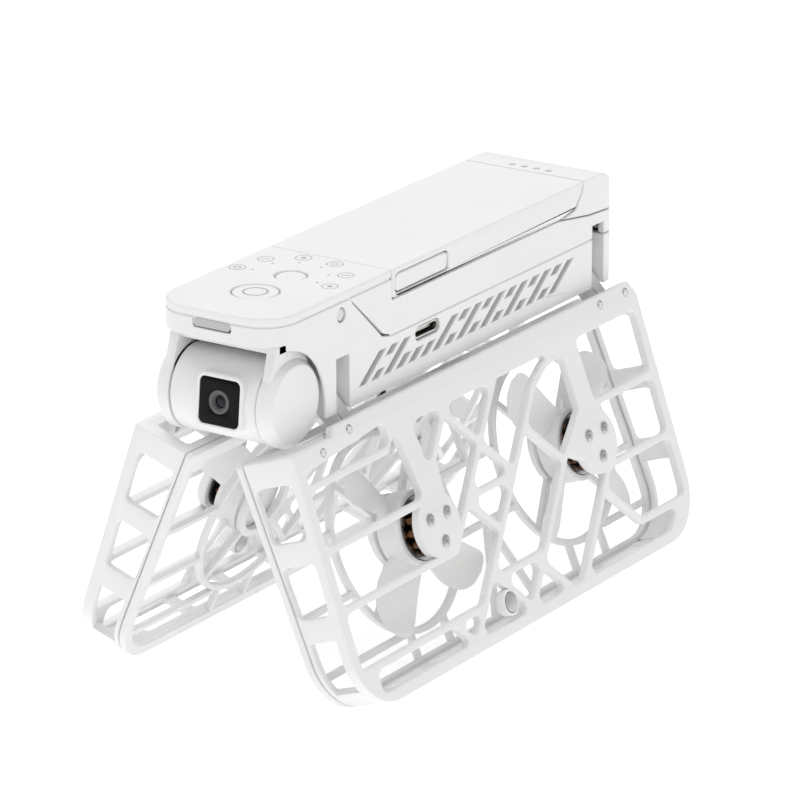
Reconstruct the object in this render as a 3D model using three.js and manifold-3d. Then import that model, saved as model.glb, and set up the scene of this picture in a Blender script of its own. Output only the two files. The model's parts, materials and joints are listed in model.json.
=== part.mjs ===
// Mini palm drone with two folding propeller cages, millimetres, +Z up, nose towards -Y.
// The body is drawn with its top face at height 0, and the last section stands the whole
// drone on the inner edges of its cages, centred on the origin.
import * as THREE from 'three';
import { mergeVertices } from 'three/addons/utils/BufferGeometryUtils.js';
import Module from 'manifold-3d';

const wasm = await Module();
wasm.setup();

// ---------------------------------------------------------------- driving dimensions

const gap = 0.3; // between pieces that touch
const wall = 1.5; // moulded shell thickness

const body = {
  width: 29.7,
  height: 24.45,
  front: -63.5,
  rear: 63.5,
  noseRadius: 8, // front corners in plan
  tailRadius: 4, // rear corners in plan
  tailTopRadius: 7, // rear top edge in side view
  bandTop: -13.6, // seam between the vented band and the upper frame
  panelThickness: 1.9,
  noseDepth: 6, // height of the overhang above the gimbal
};

const battery = {
  front: -22.4,
  rear: 50.4,
  sideDepth: 6.2, // visible height on the flanks
  depth: 12.2, // full depth between the frame's walls
  tailSweep: 9.4, // length over which the flank seam sweeps up at the rear
};

const latch = { length: 19, height: 3.6, thickness: 1.2, top: -1.6, start: -21 };

const panel = {
  powerY: -48.5,
  powerRadius: 4.6,
  modeY: -36.2,
  modeRadius: 3.1,
  lightWidth: 8.4,
  lightHeight: 1.6,
  lightZ: -2.9,
};

const vents = {
  count: 9, // full-length slots
  firstY: -33.1,
  pitch: 8.85,
  bottom: -21.2,
  top: -15.7,
  lean: 7.3, // how far a slot runs back over its height
  width: 1.5,
  portShadow: [-21, -4], // stretch where the port leaves only short slots
};

const port = { y: -9.6, z: -16, length: 9, height: 3, depth: 7 };

const gimbal = {
  y: -55,
  z: -19.1,
  radius: 9,
  halfLength: 10.1,
  capWidth: 3.5,
  capBevel: 1.4,
  lensX: 2,
  windowSize: 9.4,
  frameSize: 11,
  frameFront: 9.3,
  lensRadius: 2.6,
  pitchUp: 6, // degrees the lens looks up at rest
  archRadius: 13.9,
  archY: -60,
  archZ: -21,
  bayRear: -44.6,
};

const hinge = {
  x: 7.85,
  z: -16.3,
  splay: 18.9, // degrees each cage leans out when the drone stands on its cages
  pinRadius: 1.2,
  bossRadius: 2.7,
  armWidth: 3.6, // along the drone
  slotWidth: 4.6,
  frontY: -40,
  rearY: 56.1,
  frontSlotTop: -13.3,
  rearSlotTop: -10.8,
  slotInnerX: 4.6,
};

const cage = {
  front: -63.5,
  rear: 65,
  reach: 53.4, // from the top edge to the tip
  outerX: 7, // outer face from the fold axis, cage hanging straight down
  topZ: -12.99, // top edge below the fold axis
  depth: 14.4, // at the top edge
  taper: 0.07, // depth lost per millimetre towards the tip
  skin: 2, // depth of the outer lattice
  coverSkin: 1.5,
  stile: 2.6,
  rib: 1.4,
  tipRail: 2.4,
  beam: 4.4,
  cornerRadius: 12,
  endPlate: 1.6,
  fillet: 1.5,
};

const motor = {
  frontY: -23.8,
  rearY: 36.7,
  u: 25.9, // below the cage's top edge
  mountRadius: 7,
  screwCircle: 3.5,
  statorRadius: 5.2,
  bellRadius: 6.4,
  bellWall: 0.8,
  hubRadius: 7.9,
  shaftRadius: 0.75,
  bladeRadius: 23.7,
  bladeCount: 4,
  bladeTurn: 48, // degrees of the first blade
};

// ---------------------------------------------------------------- materials

const finish = (color, roughness, metalness = 0) =>
  new THREE.MeshStandardMaterial({ color, roughness, metalness });
const whiteShell = finish(0xf2f2f0, 0.5);
const whiteCage = finish(0xeeeeec, 0.55);
const darkPlastic = finish(0x1b1b1c, 0.5);
const blackGlass = finish(0x050506, 0.08);
const lensGlass = finish(0x101418, 0.05);
const steel = finish(0xa8a8a6, 0.35, 0.9);
const copper = finish(0xa8643a, 0.4, 0.8);
const boardGreen = finish(0x1f3d2e, 0.6);
const lightGuide = finish(0xdcdcda, 0.3);

// ---------------------------------------------------------------- solids

const degrees = (angle) => (angle * Math.PI) / 180;
const point = (x, y) => new THREE.Vector2(x, y);

function solid(geometry) {
  const bare = geometry.index ? geometry.toNonIndexed() : geometry;
  bare.deleteAttribute('normal');
  bare.deleteAttribute('uv');
  const merged = mergeVertices(bare, 1e-4);
  return new wasm.Manifold(new wasm.Mesh({
    numProp: 3,
    vertProperties: new Float32Array(merged.attributes.position.array),
    triVerts: new Uint32Array(merged.index.array),
  }));
}

const join = (...parts) => parts.reduce((a, b) => a.add(b));
const cut = (from, ...tools) => tools.reduce((a, b) => a.subtract(b), from);

function geometryOf(made) {
  const mesh = made.getMesh();
  const positions = new Float32Array(mesh.numVert * 3);
  for (let i = 0; i < mesh.numVert; i++) {
    const start = i * mesh.numProp;
    positions.set(mesh.vertProperties.subarray(start, start + 3), i * 3);
  }
  const geometry = new THREE.BufferGeometry();
  geometry.setAttribute('position', new THREE.BufferAttribute(positions, 3));
  geometry.setIndex(new THREE.BufferAttribute(new Uint32Array(mesh.triVerts), 1));
  return geometry;
}

function part(name, made, material) {
  const mesh = new THREE.Mesh(geometryOf(made), material);
  mesh.name = name;
  return mesh;
}

// A shape drawn in (first, second) axes and extruded between two places on the third axis.
const planes = {
  x: [new THREE.Vector3(0, 1, 0), new THREE.Vector3(0, 0, 1), new THREE.Vector3(1, 0, 0)],
  y: [new THREE.Vector3(0, 0, 1), new THREE.Vector3(1, 0, 0), new THREE.Vector3(0, 1, 0)],
  z: [new THREE.Vector3(1, 0, 0), new THREE.Vector3(0, 1, 0), new THREE.Vector3(0, 0, 1)],
};

function extrude(axis, points, from, to) {
  const shape = new THREE.Shape(points);
  const depth = to - from;
  const geometry = new THREE.ExtrudeGeometry(shape, { depth, bevelEnabled: false });
  geometry.translate(0, 0, from);
  return solid(geometry.applyMatrix4(new THREE.Matrix4().makeBasis(...planes[axis])));
}

const alongX = (points, x0, x1) => extrude('x', points, x0, x1); // points are (y, z)
const alongZ = (points, z0, z1) => extrude('z', points, z0, z1); // points are (x, y)
const alongY = (points, y0, y1) => // points are (x, z)
  extrude('y', points.map((p) => point(p.y, p.x)), y0, y1);

function circle(cx, cy, radius, sides = 16) {
  return Array.from({ length: sides }, (_, i) => {
    const angle = (2 * Math.PI * (i + 0.5)) / sides;
    return point(cx + radius * Math.cos(angle), cy + radius * Math.sin(angle));
  });
}

function rectangle(x0, x1, y0, y1) {
  return [point(x0, y0), point(x1, y0), point(x1, y1), point(x0, y1)];
}

// Each corner of a polygon replaced by an arc that touches both of its edges.
function rounded(corners, radii, steps = 2) {
  const out = [];
  corners.forEach((corner, i) => {
    const before = corners[(i + corners.length - 1) % corners.length].clone().sub(corner);
    const after = corners[(i + 1) % corners.length].clone().sub(corner);
    const half = Math.acos(before.clone().normalize().dot(after.clone().normalize())) / 2;
    const wanted = Array.isArray(radii) ? radii[i] : radii;
    const room = 0.45 * Math.min(before.length(), after.length()) * Math.tan(half);
    const radius = Math.min(wanted, room);
    if (radius < 0.05) {
      out.push(corner.clone());
      return;
    }
    const start = corner.clone().addScaledVector(before.normalize(), radius / Math.tan(half));
    const end = corner.clone().addScaledVector(after.normalize(), radius / Math.tan(half));
    const middle = before.clone().add(after).normalize();
    const centre = corner.clone().addScaledVector(middle, radius / Math.sin(half));
    const a0 = Math.atan2(start.y - centre.y, start.x - centre.x);
    let turn = Math.atan2(end.y - centre.y, end.x - centre.x) - a0;
    if (turn > Math.PI) turn -= 2 * Math.PI;
    if (turn < -Math.PI) turn += 2 * Math.PI;
    for (let k = 0; k <= steps; k++) {
      const angle = a0 + (turn * k) / steps;
      out.push(point(centre.x + radius * Math.cos(angle), centre.y + radius * Math.sin(angle)));
    }
  });
  return out;
}

const box = (x0, x1, y0, y1, z0, z1) => alongZ(rectangle(x0, x1, y0, y1), z0, z1);

// ---------------------------------------------------------------- body shells

const halfWidth = body.width / 2;
const seam = gap / 2;

// The body's outer form, or the same form moved in by a wall.
function envelope(inset = 0) {
  const w = halfWidth - inset;
  const plan = rounded(
    rectangle(-w, w, body.front + inset, body.rear - inset),
    [body.noseRadius, body.noseRadius, body.tailRadius, body.tailRadius].map((r) => r - inset),
    5,
  );
  const side = rounded(
    rectangle(body.front - 1, body.rear - inset, -body.height + inset, -inset),
    [0, 2, body.tailTopRadius - inset, 0],
    5,
  );
  return alongZ(plan, -body.height - 1, 1).intersect(alongX(side, -w - 1, w + 1));
}

const shellForm = envelope();
const cavityForm = envelope(wall);

// The seam in side view that leans back from under the control panel to the vented band.
const leaningSeam = {
  top: point(-37.6, -body.panelThickness),
  foot: point(-25.6, body.bandTop + 0.7),
  end: point(-22.8, body.bandTop),
};

// Side outline of the battery's flank, whose seam sweeps up to the top at the rear.
function batteryOutline(inset) {
  const bottom = -battery.sideDepth + inset;
  const rear = battery.rear - inset;
  return rounded(
    [
      point(battery.front + inset, 1),
      point(battery.front + inset, bottom),
      point(rear - battery.tailSweep, bottom),
      point(rear - battery.tailSweep * 0.36, bottom + 1),
      point(rear - 0.8, -2),
      point(rear, 1),
    ],
    [0, 0.8, 3, 2, 2, 0],
  );
}

function hingeSlots() {
  const half = hinge.slotWidth / 2;
  const slots = [];
  for (const side of [-1, 1]) {
    for (const [y, top] of [[hinge.frontY, hinge.frontSlotTop], [hinge.rearY, hinge.rearSlotTop]]) {
      const xs = [side * hinge.slotInnerX, side * (halfWidth + 1)].sort((a, b) => a - b);
      slots.push(box(xs[0], xs[1], y - half, y + half, -body.height - 1, top));
    }
  }
  return join(...slots);
}

// One slanted vent: a parallelogram between two heights, cut through both flanks.
function ventSlot(footY, z0, z1) {
  const slope = vents.lean / (vents.top - vents.bottom);
  const y0 = footY + slope * (z0 - vents.bottom);
  const y1 = footY + slope * (z1 - vents.bottom);
  const half = vents.width * 0.85;
  const outline = [point(y0 - half, z0), point(y0 + half, z0), point(y1 + half, z1), point(y1 - half, z1)];
  return alongX(outline, -halfWidth - 1, halfWidth + 1);
}

function ventSlots() {
  const slots = [];
  const short = (vents.top - vents.bottom) * 0.3;
  const underPort = port.z - port.height / 2 - 1.4;
  for (let i = 0; i < 2 * vents.count - 1; i++) {
    const y = vents.firstY + (i * vents.pitch) / 2;
    const shadowed = y > vents.portShadow[0] - 1 && y < vents.portShadow[1] - vents.lean / 2;
    if (shadowed) {
      slots.push(ventSlot(y, vents.bottom, underPort));
    } else if (i % 2 === 0) {
      slots.push(ventSlot(y, vents.bottom, vents.top));
    } else {
      slots.push(ventSlot(y, vents.bottom, vents.bottom + short));
      slots.push(ventSlot(y, vents.top - short, vents.top));
    }
  }
  return join(...slots);
}

function portOpening() {
  const { y, z, length, height } = port;
  const outline = rectangle(y - length / 2, y + length / 2, z - height / 2, z + height / 2);
  return alongX(rounded(outline, 1.3, 4), halfWidth - wall - 1, halfWidth + 1);
}

// Lower shell: the nose, the vented band and the floor, with an arch around the gimbal.
function lowerShell() {
  const side = [
    point(body.front - 1, -body.panelThickness - seam),
    point(leaningSeam.top.x - seam, -body.panelThickness - seam),
    point(leaningSeam.foot.x - gap, leaningSeam.foot.y - seam),
    point(leaningSeam.end.x, body.bandTop - seam),
    point(body.rear + 1, body.bandTop - seam),
    point(body.rear + 1, -body.height - 1),
    ...archCurve(),
    point(body.front - 1, -body.noseDepth),
  ];
  const outer = shellForm.intersect(alongX(side, -halfWidth - 1, halfWidth + 1));
  const bay = gimbalBay(0);
  const hollow = cavityForm.subtract(gimbalBay(wall));
  // bulkheads on both sides of each hinge slot carry the hinge pins
  const bulkheads = [];
  for (const y of [hinge.frontY, hinge.rearY]) {
    for (const side of [-1, 1]) {
      const inner = y + side * (hinge.slotWidth / 2);
      const ys = [inner, inner + side * 1.6].sort((a, b) => a - b);
      bulkheads.push(box(-halfWidth + 1, halfWidth - 1, ys[0], ys[1], -body.height + 1, hinge.z + 2.6));
    }
  }
  const frame = shellForm.intersect(join(...bulkheads));
  const pins = join(...hingePinPlaces().map(([x, y]) =>
    alongY(circle(x, hinge.z, hinge.pinRadius + gap, 16), y - 6, y + 6)));
  const light = lightBarSolid(gap);
  const screw = alongX(circle(sideScrewPlace.x, sideScrewPlace.y, 1.55, 12), -halfWidth - 1, halfWidth + 1);
  return cut(
    join(cut(outer, hollow), frame),
    bay, hingeSlots(), ventSlots(), portOpening(), pins, light, screw, sensorWindowSolid(gap),
  );
}

// The lower edge of the side walls over the gimbal, from the floor up to the nose.
function archCurve() {
  const { archY, archZ, archRadius } = gimbal;
  const start = -body.height - 1;
  const points = Array.from({ length: 9 }, (_, i) => {
    const angle = degrees((i * 90) / 8);
    return point(archY + archRadius * Math.cos(angle), archZ + archRadius * Math.sin(angle));
  });
  return [point(archY + archRadius, start), ...points];
}

// The bay behind the side walls that the gimbal hangs in, or the same bay grown by a wall.
function gimbalBay(grow) {
  const half = halfWidth - 0.8 + (grow > 0 ? 2 : 0);
  const outline = rectangle(
    body.front - 5, gimbal.bayRear + grow,
    -body.height - 5, -body.noseDepth + grow,
  );
  return alongX(rounded(outline, [0, 0, 1.5, 0]), -half, half);
}

function hingePinPlaces() {
  return [-1, 1].flatMap((side) =>
    [hinge.frontY, hinge.rearY].map((y) => [side * hinge.x, y]));
}

// Upper frame: the wall between the vented band and the battery, with the battery tray's floor.
function upperFrame() {
  const side = [
    point(leaningSeam.top.x + seam, -body.panelThickness - seam),
    point(battery.front - seam, -body.panelThickness - seam),
    point(battery.front - seam, -battery.sideDepth - seam),
    point(battery.rear - battery.tailSweep - 1, -battery.sideDepth - seam),
    point(battery.rear + 2, -8.2),
    point(body.rear + 1, -9),
    point(body.rear + 1, body.bandTop + seam),
    point(leaningSeam.end.x, body.bandTop + seam),
    point(leaningSeam.foot.x + seam, leaningSeam.foot.y + gap),
  ];
  const outer = shellForm.intersect(alongX(side, -halfWidth - 1, halfWidth + 1));
  const tray = box(
    -halfWidth + 2.2, halfWidth - 2.2,
    battery.front - 4, battery.rear - 2,
    -battery.depth - gap, 1,
  );
  const noseRoom = box(
    -halfWidth + wall, halfWidth - wall,
    leaningSeam.top.x - 1, battery.front - wall,
    -body.height, 1,
  );
  const tailRoom = box(
    -halfWidth + wall, halfWidth - wall,
    battery.rear + 1.5, body.rear - wall,
    -body.height, 1,
  );
  return cut(outer, tray, noseRoom, tailRoom, hingeSlots());
}

// Rear cap: the curved tail above the upper frame, down to the battery's swept seam.
function rearCap() {
  const side = [
    point(battery.rear + seam, 1),
    point(body.rear + 1, 1),
    point(body.rear + 1, -9 + gap),
    point(battery.rear + 2, -8.2 + gap),
    point(battery.rear - battery.tailSweep - 0.6, -battery.sideDepth + seam * 0.2),
  ];
  const outer = shellForm.intersect(alongX(side, -halfWidth - 1, halfWidth + 1));
  const flank = alongX(batteryOutline(-gap), -halfWidth - 1, halfWidth + 1);
  const tray = box(
    -halfWidth + 2.2 - gap, halfWidth - 2.2 + gap,
    battery.front, battery.rear - 1.4,
    -battery.depth, 1,
  );
  const room = box(
    -halfWidth + wall, halfWidth - wall,
    battery.rear + 1.6, body.rear - wall - 1.6,
    -body.height, -wall,
  );
  return cut(outer, flank, tray, room, statusLights(gap));
}

// Four small status lights across the tail.
function statusLights(grow) {
  const y = battery.rear + 2.4;
  const bar = box(-6, 6, y - 1.4, y + 1.4, -2.9 - grow, -1.5 + grow);
  const pips = [-4.5, -1.5, 1.5, 4.5].map((x) =>
    alongZ(circle(x, y, 0.5 + grow * 0.6, 12), -2, -0.1 + grow));
  return join(grow > 0 ? box(-6 - grow, 6 + grow, y - 1.4 - grow, y + 1.4 + grow, -3.2, -1.2) : bar, ...pips);
}

// Control panel: the flat deck over the nose that carries the two buttons.
function controlPanel() {
  const depth = -body.panelThickness + seam;
  const deck = box(-halfWidth - 1, halfWidth + 1, body.front - 1, battery.front - gap, depth, 1);
  const holes = [
    alongZ(circle(0, panel.powerY, panel.powerRadius + gap, 28), -5, 1),
    alongZ(circle(0, panel.modeY, panel.modeRadius + gap, 28), -5, 1),
  ];
  return cut(shellForm.intersect(deck), ...holes);
}

// A round push button: a cap with a wider foot under the deck.
function pushButton(y, radius) {
  const foot = -body.panelThickness + seam - gap;
  return join(
    alongZ(circle(0, y, radius, 28), foot - 0.5, -0.15),
    alongZ(circle(0, y, radius + 0.9, 16), foot - 0.8, foot),
  );
}

function lightBarSolid(grow) {
  const half = panel.lightWidth / 2 + grow;
  const high = panel.lightHeight / 2 + grow;
  const outline = rectangle(-half, half, panel.lightZ - high, panel.lightZ + high);
  return alongY(rounded(outline, 0.5, 2), body.front - (grow > 0 ? 1 : -0.1), body.front + wall + 0.3 + grow);
}

function sensorWindowSolid(grow) {
  const outline = rectangle(-7 - grow, 7 + grow, 4 - grow, 14 + grow);
  return alongZ(rounded(outline, 2, 3), -body.height - (grow > 0 ? 1 : -0.2), -body.height + 1.2 + grow);
}

// ---------------------------------------------------------------- battery

function batteryCase() {
  const flank = shellForm.intersect(alongX(batteryOutline(0), -halfWidth - 1, halfWidth + 1));
  const core = box(
    -halfWidth + 2.2 + gap, halfWidth - 2.2 - gap,
    battery.front + gap, battery.rear - 2.8,
    -battery.depth, -battery.sideDepth + 1,
  );
  const cells = box(-11.1, 11.1, battery.front + 3.2, battery.rear - 4.5, -20, -1.5);
  const recesses = [-1, 1].map((side) => latchSolid(side, gap, 0.9));
  return cut(join(flank, core), cells, ...recesses);
}

function batteryCells() {
  return box(-10.8, 10.8, battery.front + 3.5, battery.rear - 4.8, -battery.depth + 0.4, -1.8);
}

// Flush latch on a flank; grow and room make the recess it sits and slides in.
function latchSolid(side, grow, room) {
  const outline = rectangle(
    latch.start - grow, latch.start + latch.length + grow,
    latch.top - latch.height - grow, latch.top + grow,
  );
  const outer = side * (halfWidth + (grow > 0 ? 1 : -0.25));
  const inner = side * (halfWidth - 0.25 - latch.thickness - (grow > 0 ? room : 0));
  return alongX(rounded(outline, 1.1, 3), Math.min(outer, inner), Math.max(outer, inner));
}

// ---------------------------------------------------------------- inner pieces

function mainBoard() {
  return box(-11.6, 11.6, -34, 50, -22.4, -21.2);
}

function heatSink() {
  const base = box(-9.5, 9.5, -2, 46, -20.9, -20.1);
  const fins = Array.from({ length: 7 }, (_, i) => {
    const x = -8.7 + i * 2.9;
    return box(x - 0.4, x + 0.4, -2, 46, -20.2, -17.2);
  });
  return join(base, ...fins);
}

function portSocket() {
  const { y, z, length, height, depth } = port;
  const shellOutline = rectangle(
    y - length / 2 + gap, y + length / 2 - gap,
    z - height / 2 + gap, z + height / 2 - gap,
  );
  const mouth = rectangle(
    y - length / 2 + gap + 0.35, y + length / 2 - gap - 0.35,
    z - height / 2 + gap + 0.35, z + height / 2 - gap - 0.35,
  );
  const outer = halfWidth - 0.5;
  const shell = alongX(rounded(shellOutline, 1, 4), outer - depth, outer);
  const hole = alongX(rounded(mouth, 0.75, 4), outer - depth + 1, outer + 1);
  const tongue = alongX(rectangle(y - 3, y + 3, z - 0.3, z + 0.3), outer - depth + 0.5, outer - 1);
  const foot = box(outer - depth, outer - 3.4, y - 3, y + 3, -20.9, z - height / 2 + gap + 0.1);
  return join(cut(shell, hole), tongue, foot);
}

const sideScrewPlace = point(-40.4, -4.6); // (y, z) on the flanks

function sideScrew(side) {
  const disc = (radius, from, to) => {
    const ends = [side * (halfWidth - from), side * (halfWidth - to)].sort((a, b) => a - b);
    return alongX(circle(sideScrewPlace.x, sideScrewPlace.y, radius, 12), ends[0], ends[1]);
  };
  return join(disc(1.25, 0.35, 1), disc(0.6, 0.95, 2.6));
}

function hingePin(x, y) {
  const length = hinge.slotWidth / 2 + 1.6;
  return alongY(circle(x, hinge.z, hinge.pinRadius, 16), y - length, y + length);
}

// ---------------------------------------------------------------- gimbal

// A solid turned about the gimbal's axis, from (x, radius) pairs that start and end on the axis.
function turnedAboutX(profile, sides = 28) {
  const geometry = new THREE.LatheGeometry(profile.map(([x, r]) => point(r, x)), sides);
  geometry.rotateZ(-Math.PI / 2);
  const made = solid(geometry);
  return made.volume() < 0 ? solid(flipped(geometry)) : made;
}

function flipped(geometry) {
  const index = geometry.index.array;
  for (let i = 0; i < index.length; i += 3) [index[i], index[i + 1]] = [index[i + 1], index[i]];
  return geometry;
}

// Yoke: two round end caps joined by a thin plate over the barrel, with a root at the back.
function gimbalYoke() {
  const inner = gimbal.halfLength + gap;
  const outer = inner + gimbal.capWidth;
  const { radius, capBevel, y, z } = gimbal;
  const cap = (side) => turnedAboutX([
    [side * inner, 0],
    [side * inner, radius],
    [side * (outer - capBevel), radius],
    [side * (outer - 0.4), radius - 0.7],
    [side * outer, radius - capBevel * 1.4],
    [side * outer, 0],
  ]).translate([0, y, z]);
  const plateTop = -body.noseDepth - gap;
  const half = outer - 1.2;
  const plate = box(-half, half, y - 3.6, y + 5, z + 2, plateTop);
  const post = box(-6, 6, y + 4, gimbal.bayRear - 1.2 - 2 * gap, z + 4, plateTop);
  const clear = turnedAboutX([
    [-inner - 0.001, 0],
    [-inner - 0.001, radius + gap],
    [inner + 0.001, radius + gap],
    [inner + 0.001, 0],
  ]).translate([0, y, z]);
  const shaftHole = alongX(circle(y, z, 1.8, 16), -inner - 1.5, inner + 1.5);
  const bridge = cut(join(plate, post), clear, barrelSweep());
  return cut(join(cap(-1), cap(1), bridge), shaftHole, lensSweep());
}

function barrelSweep() {
  const reach = gimbal.halfLength + gap;
  return alongX(circle(gimbal.y, gimbal.z, gimbal.radius + gap, 40), -reach, reach);
}

// Dark liner on the back wall of the bay, behind the barrel.
function bayLiner() {
  const half = halfWidth - 0.8 - gap;
  const back = gimbal.bayRear - gap;
  const outline = [
    point(back - 0.6, -body.noseDepth - 1.8),
    point(back - 0.6, -body.height + 0.4),
    point(back, -body.height + 0.4),
    point(back, -body.noseDepth - 1.8),
  ];
  return alongX(outline, -half, half);
}

// The room that the lens frame needs as the barrel turns.
function lensSweep() {
  const { y, z, lensX, frameSize, frameFront } = gimbal;
  const reach = Math.hypot(frameFront, frameSize / 2) + gap;
  const half = frameSize / 2 + gap;
  return turnedAboutX([[lensX - half, 0], [lensX - half, reach], [lensX + half, reach], [lensX + half, 0]])
    .translate([0, y, z])
    .intersect(box(-20, 20, y - 20, y - 4.5, z - 20, z + 20));
}

// The barrel and what turns with it are drawn about the pitch axis, lens towards -Y.
function gimbalBarrel() {
  const { radius, halfLength, lensX, frameSize, frameFront, windowSize } = gimbal;
  const drum = turnedAboutX([
    [-halfLength, 0],
    [-halfLength, radius - 0.5],
    [-halfLength + 0.5, radius],
    [halfLength - 0.5, radius],
    [halfLength, radius - 0.5],
    [halfLength, 0],
  ]);
  const half = frameSize / 2;
  const frame = alongY(rounded(rectangle(lensX - half, lensX + half, -half, half), 1.8, 4), -frameFront, -2);
  const inset = windowSize / 2 + 0.15;
  const recess = alongY(
    rounded(rectangle(lensX - inset, lensX + inset, -inset, inset), 1.2, 4),
    -frameFront - 1, -frameFront + 1.2,
  );
  const moduleRoom = box(lensX - 4.3, lensX + 4.3, -frameFront + 0.5, 1, -4.3, 4.3);
  const shafts = join(
    alongX(circle(0, 0, 1.4, 16), halfLength - 0.5, halfLength + gap + 1.2),
    alongX(circle(0, 0, 1.4, 16), -halfLength - gap - 1.2, -halfLength + 0.5),
  );
  return cut(join(drum, frame, shafts), recess, moduleRoom);
}

function cameraWindow() {
  const { lensX, windowSize, frameFront, lensRadius } = gimbal;
  const half = windowSize / 2 - 0.15;
  const plate = alongY(
    rounded(rectangle(lensX - half, lensX + half, -half, half), 1.1, 4),
    -frameFront + 0.1, -frameFront + 0.9,
  );
  return cut(plate, alongY(circle(lensX, 0, lensRadius + 0.15, 24), -20, 0));
}

function lensBarrel() {
  const { lensX, frameFront, lensRadius } = gimbal;
  const tube = alongY(circle(lensX, 0, lensRadius, 24), -frameFront + 0.2, -frameFront + 5);
  return cut(tube, alongY(circle(lensX, 0, lensRadius - 0.7, 24), -20, -frameFront + 3.5));
}

function lensElement() {
  const { lensX, frameFront, lensRadius } = gimbal;
  return alongY(circle(lensX, 0, lensRadius - 0.9, 20), -frameFront + 1, -frameFront + 3.2);
}

function imageSensor() {
  const { lensX, frameFront } = gimbal;
  return box(lensX - 3.9, lensX + 3.9, -frameFront + 5.3, -frameFront + 7.3, -3.9, 3.9);
}

// ---------------------------------------------------------------- cages

// A cage is drawn about its fold axis as it hangs straight down on the +X side. On the cage's
// faces, y runs along the drone and u runs down from the top edge to the tip.
const faceX = (w) => cage.outerX - w; // w is the depth in from the outer face
const height = (u) => cage.topZ - u;
const depthAt = (u) => cage.depth - cage.taper * u;

// Lines on a face, as a*y + b*u = c.
const level = (u) => [0, 1, u];
const upright = (y) => [1, 0, y];
const falling = (sum) => [Math.SQRT1_2, Math.SQRT1_2, sum * Math.SQRT1_2]; // y + u = sum
const rising = (difference) => [Math.SQRT1_2, -Math.SQRT1_2, difference * Math.SQRT1_2]; // y - u
function through(y0, u0, y1, u1) {
  const length = Math.hypot(y1 - y0, u1 - u0);
  const a = (u1 - u0) / length;
  const b = -(y1 - y0) / length;
  return [a, b, a * y0 + b * u0];
}

function crossing([a, b, c], [d, e, f]) {
  const determinant = a * e - b * d;
  return point((c * e - b * f) / determinant, (a * f - c * d) / determinant);
}

// The opening between ribs that run along the given lines, moved in by half a rib.
function opening(lines) {
  const count = lines.length;
  const ring = lines.map((line, i) => crossing(lines[(i + count - 1) % count], line));
  const turn = Math.sign(THREE.ShapeUtils.area(ring));
  const moved = lines.map(([a, b, c], i) => {
    const along = ring[(i + 1) % count].clone().sub(ring[i]);
    const inward = Math.sign(turn * (along.x * b - along.y * a));
    return [a, b, c + (inward * cage.rib) / 2];
  });
  return moved.map((line, i) => crossing(moved[(i + count - 1) % count], line));
}

function faceOutline() {
  const { front, rear, reach, cornerRadius } = cage;
  return rounded(
    [point(front, 0), point(front, reach), point(rear, reach), point(rear, 0)],
    [1, cornerRadius, cornerRadius, 2],
    6,
  );
}

// A face shape, given in (y, u), as a plate between two depths.
function facePlate(points, w0, w1) {
  return alongX(points.map((p) => point(p.x, height(p.y))), faceX(w1), faceX(w0));
}

const ribs = {
  front: upright(cage.front + cage.stile - cage.rib / 2),
  rear: upright(cage.rear - cage.stile + cage.rib / 2),
  beam: level(cage.beam - cage.rib / 2),
  beamSlope: through(-61, 3.6, -31, 1.2),
  tip: level(cage.reach - cage.tipRail + cage.rib / 2),
  frontHigh: level(7.5),
  frontMiddle: level(20.2),
  frontLow: level(32.4),
  frontTip: level(45.4),
  rearHigh: level(18.6),
  rearLow: level(32),
  rearTip: level(46),
};

// Long ribs that fall towards the nose, and short links that cross them.
const rails = [-6.5, 11.6, 29, 49.8, 70.3].map(falling);
const links = { top: rising(-17.7), middle: rising(-37), rear: rising(-2.8), foot: rising(-51.3), nose: rising(-73.5) };
const arms = {
  frontLeft: through(-28.6, 4.8, -26, 18),
  frontRight: through(-24.4, 5, -22.4, 18),
  rearLeft: through(33.4, 5, 34, 18),
  rearRight: through(38, 5, 38.6, 18),
};

// Each window of the outer lattice, as the lines that bound it in order.
function latticeWindows() {
  const { front, rear, beam, tip, frontHigh, frontMiddle, frontLow, frontTip } = ribs;
  const [railA, railB, railC, railD, railE] = rails;
  const braceY = motor.frontY + 3.8;
  const crown = through(-34, 7.5, -30, 3.5);
  const shoulder = through(25.6, 6.4, 20, 9.3);
  const brow = through(33, 5.2, 25.6, 6.4);
  const cheek = through(30, 21.5, 24, 26);
  const corner = rising(-1.4);
  return [
    [front, ribs.beamSlope, upright(-31.5), frontHigh],
    [front, frontHigh, crown, arms.frontLeft, frontMiddle],
    [front, frontMiddle, upright(motor.frontY), frontLow],
    [front, frontLow, railB, links.middle, railC, frontTip],
    [upright(-57), frontTip, links.nose, tip],
    [links.nose, frontTip, railC],
    [arms.frontRight, beam, railA],
    [links.top, beam, railB],
    [railA, links.top, railB, upright(braceY)],
    [railB, beam, upright(27.2), brow, shoulder, railC, links.top],
    [railB, links.top, level(23.9)],
    [level(23.9), railC, links.middle],
    [links.rear, railC, shoulder, brow, arms.rearLeft, cheek],
    [links.rear, railD, level(41.5), railC],
    [level(41.5), railD, links.foot],
    [links.foot, tip, railC],
    [railD, through(25, 25, 38.5, 31.8), railE, tip, links.middle],
    [railD, links.middle, tip],
    [railE, corner, ribs.rearTip, through(61, 46, 54, 51.7), tip],
    [ribs.rearLow, rear, ribs.rearTip, corner, railE],
    [arms.rearRight, beam, rear, ribs.rearHigh],
    [upright(motor.rearY + 3), ribs.rearHigh, rear, ribs.rearLow],
  ];
}

const motorPlaces = { front: motor.frontY, rear: motor.rearY };
const magnetPlace = point(-8.3, 47.2);

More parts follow.
